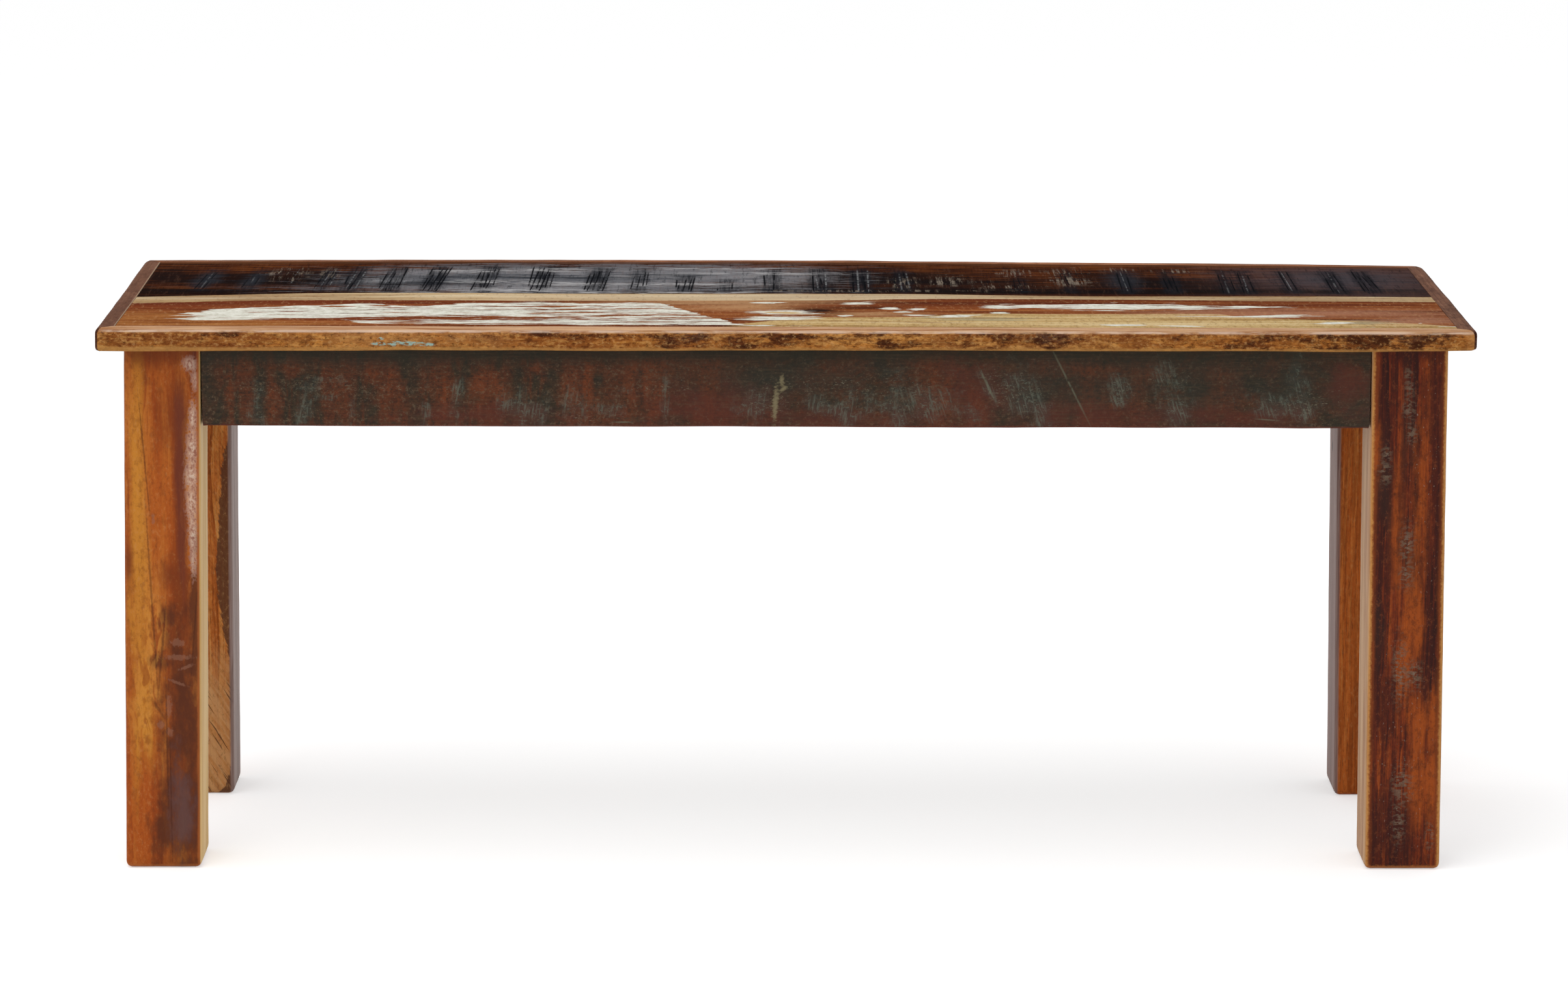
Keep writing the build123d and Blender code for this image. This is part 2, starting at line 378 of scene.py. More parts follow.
# along and across the grain, mm: how it wanders, its fibres and its broad shades; and how deep its pores are
fibres = {"wander": (260, 55), "fine": (80, 1.8), "broad": (320, 20), "poreLift": -0.06}


def wood(name, grain, look):
    # a material whose solid is sawn wood: growth rings about a pith outside the piece, fibre streaks
    # along the grain, and open pores. It gives what the marks are mixed with.
    startNodes(bpy.data.materials.new(name))
    seed, place = look["seed"], addNode("TexCoord").outputs["Object"]
    mix["place"] = place
    wander = addNode("TexNoise", {"Vector": addNode("Mapping", {
        0: place, 1: (seed * 0.7, 0.3, 0.1), 3: Vector(along(grain, *fibres["wander"])) * mm},
        vector_type="TEXTURE").outputs[0], "Scale": 1.0, "Detail": 2.0})
    centred = addNode("VectorMath", {0: wander.outputs[1], 1: (0.5, 0.5, 0.5)}, operation="SUBTRACT")
    bent = addNode("VectorMath", {0: centred.outputs[0], 1: Vector([look["wander"] * mm] * 3), 2: place},
                   operation="MULTIPLY_ADD").outputs[0]
    pith = addNode("Mapping", {0: bent, 1: Vector(look["pith"]) * mm}, vector_type="TEXTURE")
    waveLength = 0.314  # of the wave texture at scale 1
    rings = addNode("TexWave", {"Vector": pith.outputs[0], "Scale": waveLength / (look["ring"] * mm),
                                "Distortion": 1.6, "Detail": 2.0, "Detail Scale": 0.6},
                    wave_type="RINGS", rings_direction=grain, wave_profile="SAW").outputs[1]
    fibre = streaks(along(grain, *fibres["fine"]), None, seed + 1, 5.0, 0.65, place=bent)
    broad = streaks(along(grain, *fibres["broad"]), None, seed + 2, 3.0, 0.5, place=bent)
    ringShare, fibreShare, broadShare = look["shares"]
    tone = addNode("Math", {0: rings, 1: ringShare, 2: 0.5 - ringShare * 0.5},
                   operation="MULTIPLY_ADD").outputs[0]
    for part, share in ((fibre, fibreShare), (broad, broadShare)):
        shifted = addNode("Math", {0: part, 1: 0.5}, operation="SUBTRACT").outputs[0]
        tone = addNode("Math", {0: shifted, 1: share, 2: tone}, operation="MULTIPLY_ADD").outputs[0]
    # real pores are a tenth of a millimetre wide, and are drawn coarser so that they show
    poreSize, poreShare = look.get("poreSize", (12, 0.9)), look.get("poreShare", 0.55)
    pores = streaks(along(grain, *poreSize), (0.56, 0.68), seed + 3, 3.0, 0.6, place=bent)
    mix["colour"], mix["roughness"] = toneRamp(tone, look["tones"]), look["roughness"]
    mix["height"] = both(tone, look["relief"])
    layOver(pores, look["pore"], None, fibres["poreLift"], poreShare)
    return {"tone": tone, "fibre": fibre, "xyz": addNode("SeparateXYZ", {0: place}).outputs}


def varnish(gloss):
    # the wax or lacquer over it all, and the surface shader
    bump = addNode("Bump", {"Distance": mm, "Height": mix["height"]})
    surface = addNode("BsdfPrincipled", {
        "Base Color": mix["colour"], "Roughness": mix["roughness"], "IOR": 1.45,
        "Specular IOR Level": gloss, "Normal": bump.outputs[0]})
    addNode("OutputMaterial", {"Surface": surface.outputs[0]})
    return mix["owner"]


# The camera, where the photographer stood

def makeCamera():
    view = {"lens": 118.357, "place": (-0.027834, -4.213574, 1.114889),
            "down": 11.248, "left": -0.369, "roll": 0.178}
    bpy.ops.object.camera_add(location=view["place"])
    camera = bpy.context.active_object
    camera.name = "benchCamera"
    down, turn, roll = (math.radians(view[k]) for k in ("down", "left", "roll"))
    ahead = Vector((-math.sin(turn) * math.cos(down), math.cos(turn) * math.cos(down), -math.sin(down)))
    right = Vector((math.cos(turn), math.sin(turn), 0))
    up = right.cross(ahead)
    tilted = right * math.cos(roll) + up * math.sin(roll)
    upright = -right * math.sin(roll) + up * math.cos(roll)
    camera.rotation_euler = Matrix((tilted, upright, -ahead)).transposed().to_euler()
    camera.data.lens, camera.data.sensor_width = view["lens"], 36
    camera.data.clip_end = 100
    bpy.context.scene.camera = camera


makeCamera()
print("stage: camera")


# The studio: a pale floor, soft light from above and all round

def seenByEye():
    # 1 for what the camera sees, also in gloss and through glass
    rays = addNode("LightPath").outputs
    return either(rays["Is Camera Ray"], rays["Is Glossy Ray"], rays["Is Transmission Ray"])


def makeStudio():
    room = {"floorHalf": 30, "floorColour": "#e8e8e8", "floorLift": 0.49, "allRound": 0.62,
            "aim": (0, 0, 0.3),  # of the lamps, each with its place, its size and its power
            "lamps": {"topSoftbox": ((-0.6, -0.5, 2.6), 2.4, 26),
                      "frontSoftbox": ((-1.6, -3.2, 1.9), 2.0, 12)}}
    bpy.ops.mesh.primitive_plane_add(size=room["floorHalf"] * 2, location=(0, 0, 0))
    floor = bpy.context.active_object
    floor.name = "studioFloor"
    floor.data.materials.append(startNodes(bpy.data.materials.new("studioPaper")))  # a matt paper sweep
    matt = addNode("BsdfDiffuse", {"Color": linearColour(room["floorColour"])}).outputs[0]
    glow = addNode("Emission", {"Color": (1, 1, 1, 1), "Strength": both(seenByEye(), room["floorLift"])})
    addNode("OutputMaterial", {0: addNode("AddShader", {0: matt, 1: glow.outputs[0]}).outputs[0]})

    bpy.context.scene.world = startNodes(bpy.data.worlds.new("studioAir"))
    level = addNode("MapRange", {"Value": seenByEye(), "To Min": room["allRound"], "To Max": 1.0})
    air = addNode("Background", {0: (1, 1, 1, 1), 1: level.outputs[0]})
    addNode("OutputWorld", {0: air.outputs[0]})

    for name, (place, size, power) in room["lamps"].items():
        bpy.ops.object.light_add(type="AREA", location=place)
        lamp = bpy.context.active_object
        lamp.name = name
        lamp.data.shape, lamp.data.size, lamp.data.energy = "DISK", size, power
        lamp.rotation_euler = (Vector(room["aim"]) - Vector(place)).to_track_quat("-Z", "Y").to_euler()


makeStudio()
bpy.context.scene.view_settings.view_transform = "Standard"
print("stage: studio")


# The seat: one blank is rounded all over, then its four edging strips are sawn from it

seat = {
    "cornerRadii": {(-1, -1): 7, (1, -1): 8.5, (1, 1): 12.5, (-1, 1): 8},  # by side, mm
    "upperArris": 5.5, "lowerChamfer": 2.5, "jointArris": 0.7,
    "pitchLong": 4.5, "pitchAcross": 3.6,                                 # of the mesh, mm
    # the joint between the boards, and how the edges have moved, at 23 equal steps, mm
    "jointLine": [-19, -11.5, -3.1, 4.6, 7.2, 7.8, 7.8, 6.2, 5.4, 6, 6.7, 7.4, 6.9, 6.2, 3.4, -0.2, -3.1,
        -2.4, -1.7, -1, -1.2, -3.1, -3.5],
    "rearSpring": [2.6, 2.8, 3, 3.2, 3.3, 3.4, 3.5, 3.5, 3.5, 3.5, 3.5, 3.5, 3.4, 3.1, 2.8, 2.4, 2.1, 1.9,
        1.6, 1.2, 0.8, 0.2, -0.3],
    "frontDroop": [1.6, 1.9, 1.4, 1, 0.8, 0.5, 0.5, 0.4, 0.8, 0.5, 0.2, 0.1, 0, -0.3, -0.3, 0.1, 0, 0, -0.1,
        0, 0.3, -0.3, -1],
}
sawing = {
    "spacing": 3.8, "strayPlace": 2, "strayTurn": 2.4,  # of the lines in a group, mm and degrees
    "halfCut": 1.0, "lateStart": 34, "earlyEnd": 40,    # of a line, mm
    "fadeIn": 10, "fadeOut": 20, "skin": 0.4,           # of its depth, mm
    "turnAt": 80,                                       # where across the board the lines turn about, mm
    # above this lightness, each other line of a group carries a painted highlight
    "highlightFrom": 0.25,                                   # how light a group is if each other line is pale
    "bandHalf": 9, "bandEnd": 14, "bandFrom": 8, "bandTo": 12,  # of the stain round a group, mm
    "strayCount": 101,                                  # a prime, so that the numbers don't soon repeat
}
# saw marks across the rear board: place of each group, slant in degrees, lines in it, depth in mm,
# how dark its stain and its painted groove shade are, how light its painted highlights are, and where it
# starts and ends across the board, mm
sawGroups = [
    (-485, -1.9, 3, 0.2, 0.5, 0.3, 22, 122), (-446, -1.6, 3, 0.2, 0.45, 0.3, 22, 122),
    (-412, -1.7, 3, 0.25, 0.1, 0.5, 14, 140), (-384, -1.7, 4, 0.3, 0.6, 0.6, 12, 124),
    (-361, -1.2, 4, 0.3, 0.85, 0.5, 10, 132), (-328, -1.3, 6, 0.4, 1.0, 0.4, 4, 138),
    (-293, -2.1, 5, 0.4, 1.0, 0.2, 4, 142), (-250, -1.8, 5, 0.4, 1.0, 0.2, 4, 148),
    (-204, -1.5, 6, 0.45, 1.0, 0.1, 2, 148), (-157, -1.4, 5, 0.4, 0.95, 0.1, 6, 128),
    (-121, -1.0, 4, 0.4, 0.6, 0.1, 14, 124), (-83, -1.0, 5, 0.4, 0.75, 0.1, 6, 92),
    (-49, 0.0, 4, 0.4, 0.65, 0.1, 6, 74), (-11, 0.0, 4, 0.4, 0.75, 0.3, 6, 122),
    (29, 0.7, 4, 0.45, 0.95, 0.8, 4, 126), (64, 0.3, 4, 0.45, 0.95, 0.8, 4, 130),
    (98, 0.6, 4, 0.4, 0.6, 0.5, 6, 126), (135, 0.0, 3, 0.3, 0.2, 0.2, 24, 90),
    (169, 0.0, 2, 0.3, 0.15, 0.1, 20, 120), (197, 0.0, 3, 0.3, 0.4, 0.2, 14, 130),
    (238, 0.0, 3, 0.3, 0.5, 0.2, 14, 140), (285, -0.3, 3, 0.35, 0.6, 0.5, 6, 140),
    (324, -0.4, 3, 0.4, 0.8, 0.2, 6, 130), (371, -1.0, 3, 0.4, 0.7, 0.4, 6, 140),
    (387, -1.2, 3, 0.4, 0.7, 0.5, 6, 140), (423, -0.6, 3, 0.4, 0.6, 0.7, 4, 144),
    (461, 0.2, 3, 0.4, 0.9, 0.4, 14, 140), (489, 0.8, 4, 0.4, 0.95, 0.2, 20, 148)]

seatLow = Vector([min(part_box(n)[0][i] for n in ("edging_left", "edging_front")) for i in range(3)])
seatHigh = Vector([max(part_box(n)[1][i] for n in ("edging_right", "edging_rear")) for i in range(3)])
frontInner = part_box("edging_front")[1].y
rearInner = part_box("edging_rear")[0].y
leftInner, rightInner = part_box("edging_left")[1].x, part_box("edging_right")[0].x


def makeSeatBlank():
    blank = sawBlank("seatBlank", seatLow, seatHigh)
    for (side, end), radius in seat["cornerRadii"].items():
        corner = Vector((side * seatHigh.x, end * seatHigh.y))
        easeEdges(blank, radius * mm, 6, lambda e: runsAlong(e, 2) and
                  all((v.co.xy - corner).length < tiny for v in e.verts))
    easeEdges(blank, seat["upperArris"] * mm, 5, lambda e: all(v.co.z > seatHigh.z - tiny for v in e.verts))
    easeEdges(blank, seat["lowerChamfer"] * mm, 2, lambda e: all(v.co.z < seatLow.z + tiny for v in e.verts))
    return blank


def stepsBetween(low, high, pitch):
    count = max(1, round((high - low) / (pitch * mm)))
    return [low + (high - low) * i / count for i in range(1, count)]


def makeStrips():
    blank = makeSeatBlank()
    corners = {(s, e): Vector((s * seatHigh.x, e * seatHigh.y, 0)) for s in (-1, 1) for e in (-1, 1)}
    inner = {(s, e): Vector((leftInner if s < 0 else rightInner, frontInner if e < 0 else rearInner, 0))
             for s in (-1, 1) for e in (-1, 1)}
    made = {}
    for name, level, away, ends in (
            ("stripFront", frontInner, (0, 1, 0), ((-1, -1), (1, -1))),
            ("stripRear", rearInner, (0, -1, 0), ((-1, 1), (1, 1))),
            ("stripLeft", leftInner, (1, 0, 0), ((-1, -1), (-1, 1))),
            ("stripRight", rightInner, (-1, 0, 0), ((1, -1), (1, 1)))):
        strip = copyOf(blank, name)
        away = Vector(away)
        trim(strip, away * (level if away.x + away.y > 0 else -level), away)
        middle = (corners[ends[0]] + corners[ends[1]]) / 2
        for end in ends:
            mitre = (inner[end] - corners[end]).normalized()
            past = Vector((-mitre.y, mitre.x, 0))
            if past.dot(middle - corners[end]) > 0:
                past = -past
            trim(strip, corners[end], past)
        long = 0 if away.y else 1
        way = (1, 0, 0) if long == 0 else (0, 1, 0)
        places = [Vector(way) * p for p in stepsBetween(seatLow[long], seatHigh[long], seat["pitchLong"])]
        sliceAt(strip, places, way)
        made[name] = strip
    bpy.data.objects.remove(blank)
    return made


def makeBoard(name, low, high):
    board = sawBlank(name, low, high)
    easeEdges(board, seat["jointArris"] * mm, 2,
              lambda e: runsAlong(e, 0) and all(v.co.z > seatHigh.z - tiny and abs(v.co.y) < tiny
                                                for v in e.verts))
    crossCut(board, 0, seat["pitchLong"] * mm)
    crossCut(board, 1, seat["pitchAcross"] * mm)
    return board


def strayNumbers(draw=7):
    # numbers below the count in no order, but the same ones at each run
    while True:
        draw = (draw * 37 + 11) % sawing["strayCount"]
        yield draw


def sawMarks(board):
    # each line is three cuts, and the middle one is let down; its depth is kept, with painted shade along its
    # groove, and each other line of a light group keeps a painted highlight instead
    bpy.ops.mesh.select_mode(type="VERT")
    layers = bmesh.from_edit_mesh(board.data).verts.layers.float
    for name in ("sawGrooveShade", "sawHighlight", "sawBand"):
        layers.new(name)
    bmesh.update_edit_mesh(board.data)
    strays, count = strayNumbers(), sawing["strayCount"]
    for x, slant, lines, depth, dark, light, low, high in sawGroups:
        for n in range(lines):
            across = (n - (lines - 1) / 2) * sawing["spacing"]
            across += (next(strays) / count - 0.5) * sawing["strayPlace"]
            draw = next(strays)
            tilt = math.radians(slant + (draw / count - 0.5) * sawing["strayTurn"])
            facing = (math.cos(tilt), math.sin(tilt), 0)
            for aside in (-sawing["halfCut"], sawing["halfCut"], 0.0):
                bpy.ops.mesh.select_all(action="SELECT")
                middle = ((x + across + aside) * mm, sawing["turnAt"] * mm, 0)
                bpy.ops.mesh.bisect(plane_co=middle, plane_no=facing)
            mesh = bmesh.from_edit_mesh(board.data)
            # each other line of a light group gets a painted highlight, the rest painted groove shade
            pale = n % 2 and light > sawing["highlightFrom"]
            kept = mesh.verts.layers.float["sawHighlight" if pale else "sawGrooveShade"]
            start = (low + sawing["lateStart"] * draw / count) * mm
            end = (high - sawing["earlyEnd"] * (draw * 13 % count) / count) * mm
            for v in mesh.verts:
                if v.select and v.co.z > seatHigh.z - sawing["skin"] * mm:
                    fade = min(1, max(0, (v.co.y - start) / (sawing["fadeIn"] * mm)))
                    fade *= min(1, max(0, (end - v.co.y) / (sawing["fadeOut"] * mm)))
                    v.co.z -= depth * mm * fade
                    v[kept] = max(v[kept], fade * (light if pale else min(1, dark + 0.2)))
            bmesh.update_edit_mesh(board.data)
    mesh = bmesh.from_edit_mesh(board.data)
    band = mesh.verts.layers.float["sawBand"]
    for v in mesh.verts:
        if v.co.z > seatHigh.z - mm:
            across, up = v.co.x / mm, v.co.y / mm
            v[band] = max(
                dark * math.exp(-((across - x + (up - sawing["turnAt"]) * math.tan(math.radians(slant))) /
                                  sawing["bandHalf"]) ** 2 -
                                (max(0, low + sawing["bandFrom"] - up, up - high + sawing["bandTo"]) /
                                 sawing["bandEnd"]) ** 2)
                for x, slant, lines, depth, dark, light, low, high in sawGroups)
    bmesh.update_edit_mesh(board.data)


def springSeat(pieces):
    # one lattice bends the joint line and lets the rear edge rise and the front edge hang a little
    span = seatHigh - seatLow
    bpy.ops.object.add(type="LATTICE", location=(seatLow + seatHigh) / 2)
    lattice = bpy.context.active_object
    lattice.scale = span
    count = len(seat["jointLine"])
    cage = lattice.data
    cage.points_u, cage.points_v, cage.points_w = count, 3, 2
    cage.interpolation_type_u = "KEY_CATMULL_ROM"
    cage.interpolation_type_v = cage.interpolation_type_w = "KEY_LINEAR"
    for i in range(count):
        for level in range(2):
            middle = cage.points[i + count + level * count * 3]
            middle.co_deform.y += seat["jointLine"][i] * mm / span.y
        rear = cage.points[i + count * 2 + count * 3]
        rear.co_deform.z += seat["rearSpring"][i] * mm / span.z
        cage.points[i].co_deform.z -= seat["frontDroop"][i] * mm / span.z
    bpy.context.view_layer.update()
    for piece in pieces:
        takeUp(piece)
        bend = piece.modifiers.new("spring", "LATTICE")
        bend.object = lattice
        bpy.ops.object.modifier_apply(modifier=bend.name)
    bpy.data.objects.remove(lattice)


strips = makeStrips()
boardFront = makeBoard("boardFront", (leftInner, frontInner, seatLow.z), (rightInner, 0, seatHigh.z))
boardRear = makeBoard("boardRear", (leftInner, 0, seatLow.z), (rightInner, rearInner, seatHigh.z))
with editing(boardRear):
    sawMarks(boardRear)
isTop = lambda co: 1.0 if co.z > seatHigh.z - 3 * mm else 0.0
wear(boardFront, "boardFrontHollows", 0.5, (180, 30, 20), isTop)
wear(boardRear, "boardRearHollows", 0.6, (150, 40, 20), isTop)
for name, grain in (("stripFront", "X"), ("stripRear", "X"), ("stripLeft", "Y"), ("stripRight", "Y")):
    wear(strips[name], name + "Edge", 0.7, along(grain, 60, 12))
springSeat([*strips.values(), boardFront, boardRear])
print("stage: seat", {o.name: len(o.data.polygons) for o in [*strips.values(), boardFront, boardRear]})


# The legs: four squared timbers, their long arrises and feet eased

# the rounding of the long edges and of the foot, the pitch of the mesh, how far the wear of an arris
# reaches in, how high the feet are taken hold of and how far up a leg leans, and by how much, all in mm
legs = {"arris": 3.5, "foot": 5.5, "pitch": 3.4, "arrisReach": 6, "grip": 0.8, "leaning": 432,
        "aside": {"leg_front_left": -7, "leg_front_right": 4.4, "leg_rear_left": -4, "leg_rear_right": 6.2}}


def makeLeg(name, node):
    low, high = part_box(node)
    leg = sawBlank(name, low, high)
    easeByWidth(leg, 4, lambda a, b: legs["foot"] * mm if a.z < tiny and b.z < tiny else
                (legs["arris"] * mm if abs(a.z - b.z) > 0.1 else 0.0))
    for axis in (2, 0, 1):
        crossCut(leg, axis, legs["pitch"] * mm)
    middle, half = (low + high) / 2, (high - low) / 2

    def nearArris(co):
        inside = abs(abs(co.x - middle.x) - half.x) + abs(abs(co.y - middle.y) - half.y)
        return max(0, 1 - inside / (legs["arrisReach"] * mm))
    wear(leg, name + "Faces", 0.5, (22, 22, 130))
    wear(leg, name + "Arris", 1.1, (9, 9, 28), nearArris)
    keepOnMesh(leg, "across", [v.co.x for v in leg.data.vertices])
    return leg


def standAside(leg, aside):
    # the foot is moved, and proportional editing carries the length of the leg along
    with editing(leg):
        pick(leg, "VERT", lambda v: v.co.z < legs["grip"] * mm)
        bpy.ops.transform.translate(
            value=(aside * mm, 0, 0), use_proportional_edit=True,
            proportional_edit_falloff="LINEAR", proportional_size=legs["leaning"] * mm)


legFrontLeft = makeLeg("legFrontLeft", "leg_front_left")
legFrontRight = makeLeg("legFrontRight", "leg_front_right")
legRearLeft = makeLeg("legRearLeft", "leg_rear_left")
legRearRight = makeLeg("legRearRight", "leg_rear_right")
print("stage: legs")


# The aprons, between the legs

aprons = {"chamfer": 1.2, "pitchLong": 8, "pitchAcross": 6, "edgeReach": 4}  # mm
legInner = {"x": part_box("leg_front_right")[0].x, "y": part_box("leg_rear_right")[0].y}


def makeApron(name, node, long, finer=1.0):
    low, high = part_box(node)
    end = legInner["xy"[long]]
    low[long], high[long] = -end, end
    apron = sawBlank(name, low, high)
    easeEdges(apron, aprons["chamfer"] * mm, 2,
              lambda e: runsAlong(e, long) and all(v.co.z < low.z + tiny for v in e.verts))
    crossCut(apron, long, aprons["pitchLong"] * finer * mm)
    crossCut(apron, 2, aprons["pitchAcross"] * finer * mm)
    size = (160, 30, 22) if long == 0 else (30, 160, 22)
    wear(apron, name + "Faces", 0.6, size)
    wear(apron, name + "Edge", 1.4, [s * 0.4 for s in size],
         lambda co: max(0, 1 - (co.z - low.z) / (aprons["edgeReach"] * mm)))
    return apron


apronFront = makeApron("apronFront", "apron_front", 0, 0.5)
apronRear = makeApron("apronRear", "apron_rear", 0)
apronLeft = makeApron("apronLeft", "apron_left", 1)
apronRight = makeApron("apronRight", "apron_right", 1)
print("stage: aprons")


# What each finish is made of, beside the function that mixes it

boardFrontLook = {
    "face": seatTop, "seed": 3, "wander": 8, "pith": (0, -40, 620), "ring": 6, "shares": (0.22, 0.75, 0.9),
    "tones": {0.25: "#4a200e", 0.42: "#6b3419", 0.58: "#884b27", 0.78: "#a5683a"},
    "pore": "#3f1d0e", "roughness": 0.62, "relief": 0.12,
    "sapTones": {0.3: "#9a7b53", 0.45: "#b89c74", 0.6: "#c9b28c", 0.75: "#d8c6a6"},
    "tanTones": {0.3: "#9c7a48", 0.5: "#c0a26c", 0.7: "#d2ba8b"},
    "amberTones": {0.34: "#6f391b", 0.5: "#93592c", 0.64: "#b27b43"},
    "paintTones": {0.32: "#aaa08c", 0.44: "#ceccbe", 0.56: "#dedcd0", 0.7: "#ebe9e0"},
    # where the top begins, and along the board the tan wood, the paint and its hair cracks; the dark
    # seam under the sapwood, m
    "topFrom": 0.4465, "tanFrom": -0.04, "paintFrom": -0.482, "hairFrom": -0.30, "seam": 0.007,
    # lower edge of the sapwood, upper edge of the tan wood, and the edges of the paint, mm
    "sapLine": [(-552.5, -51.9), (-503.3, -46.1), (-466.1, -40.2), (-430, -35.3), (-376.8, -31.4),
        (-164, -31.7), (-56.5, -29.9), (49.9, -26.1), (103.1, -20.2), (157.4, -18.3), (263.8, -20.5),
        (370.2, -25.6), (450.5, -28.7), (551.9, -31.8)],
    "tanLine": [(-60.8, -165.7), (-30.6, -144), (-4.5, -128.2), (28.6, -115.3), (69.8, -113.4),
        (100.9, -112.5), (122, -103.6), (154.2, -96.7), (259.6, -95.9), (343.9, -95), (363.9, -106.9),
        (415.1, -119.9), (466.2, -128.9), (506.3, -142.8), (551.4, -164.7)],
    "paintTop": [(-502.3, -115.5), (-475.2, -93.7), (-463.1, -81.8), (-427, -70), (-375.8, -56.2),
        (-336.7, -50.3), (-319.6, -58.2), (-301.5, -62.2), (-281.4, -54.3), (-251.3, -44.5), (-182, -41.6),
        (-161, -46.6), (-117.8, -41.7), (-103.7, -46.7), (-88.7, -68.5), (-72.7, -94.3), (-52.7, -126.1),
        (-22.6, -153.9), (551.4, -154.8)],
    "paintLow": [(-502.3, -129.3), (-457.1, -135.4), (-422, -133.4), (-396.9, -127.5), (-371.8, -124.6),
        (-353.8, -131.6), (-339.7, -145.5), (-301.6, -149.5), (-241.4, -151.6), (-100.9, -153.8),
        (551.4, -154.8)],
    "marks": {
        "gaps": [(-260, -126, 84, 8), (-310, -126, 56, 8), (-60, -120, 24, 3), (-40, -136, 24, 3),
            (-180, -78, 46, 2.6), (-130, -72, 40, 2.4), (-150, -92, 50, 2.4), (-90, -104, 34, 2.6),
            (-301.6, -124.7, 52, 11), (-241.4, -121.8, 40, 7), (-189.2, -118, 40, 4),
            (-365.8, -65.1, 14, 4), (-331.6, -60.2, 14, 4), (-196.1, -62.4, 34, 3), (-141, -106.1, 40, 3.5),
            (-301.6, -143.5, 20, 3), (-80.8, -122.1, 26, 3), (-110.9, -139.9, 30, 2.5)],
        "flakes": [(-2.4, -89.5, 24, 10, -6), (-7.5, -121.2, 29, 9, 3), (58.9, -43, 12, 6),
            (47.7, -106.4, 6, 4), (85, -69.8, 8, 5), (94.9, -87.7, 6, 5), (107, -72.8, 6, 7, 10),
            (102.9, -104.5, 10, 4), (174.3, -61, 13, 10), (199.4, -57.1, 20, 9), (262.7, -57.2, 52, 14),
            (315.9, -61.2, 40, 10, -1), (376.1, -59.3, 30, 5), (173.2, -90.8, 6, 4),
            (139.1, -107.6, 13, 5, 12), (270.4, -151.4, 15, 4), (312.6, -154.4, 20, 3), (382, -107, 42, 4),
            (406.1, -101, 17, 4), (439.1, -137.8, 14, 5, 8), (-15.4, -38.9, 11, 4), (506, -140, 1.5, 3)],
        "tanFade": [(-46, -38, 80, 16), (-30, -62, 44, 16), (60, -98, 40, 9)],
        "pinkFade": [(420, -90, 110, 17), (505, -126, 34, 18)],
        "darkFade": [(440, -46, 110, 7), (230, -42, 160, 5), (-470, -54, 70, 5), (-300, -44, 90, 4)],
        "knot": [(25.7, -80.6, 12, 8, -10)],
        "swirl": [(23.7, -82.6, 26, 20, -10), (59.9, -66.8, 34, 8)],
        "bare": [(-1.4, -91.5, 16, 4.5, -6), (290.5, -154.4, 10, 2)],
        "flow": [(9.7, -69.7, 48, 22, -8), (59.9, -64.8, 60, 14, -4)],
        "amber": [(-518, -136, 56, 40), (-440, -154, 60, 12)],
        "redBrown": [(-500, -62, 70, 24), (-380, -44, 120, 14), (-250, -128, 90, 9), (-330, -127, 60, 8),
            (-420, -88, 60, 10)],
        "sapDark": [(-470, -12, 120, 18), (-420, -28, 90, 8), (300, -6, 260, 9), (420, -20, 130, 10)],
        "sapPale": [(-60, -14, 170, 18)],
        "darkLines": [(-500, -104, 40, 2.5), (-505, -128, 36, 2.2), (-480, -146, 46, 2),
            (-450, -118, 24, 2), (-400, -150, 60, 2), (60, -134, 40, 2), (150, -118, 46, 2.2),
            (115, -140, 30, 1.8), (455, -140, 22, 2)],
        "greyScuffs": [(466.2, -135.8, 15, 8, 6), (150.1, -122.5, 40, 7)],
    },
}


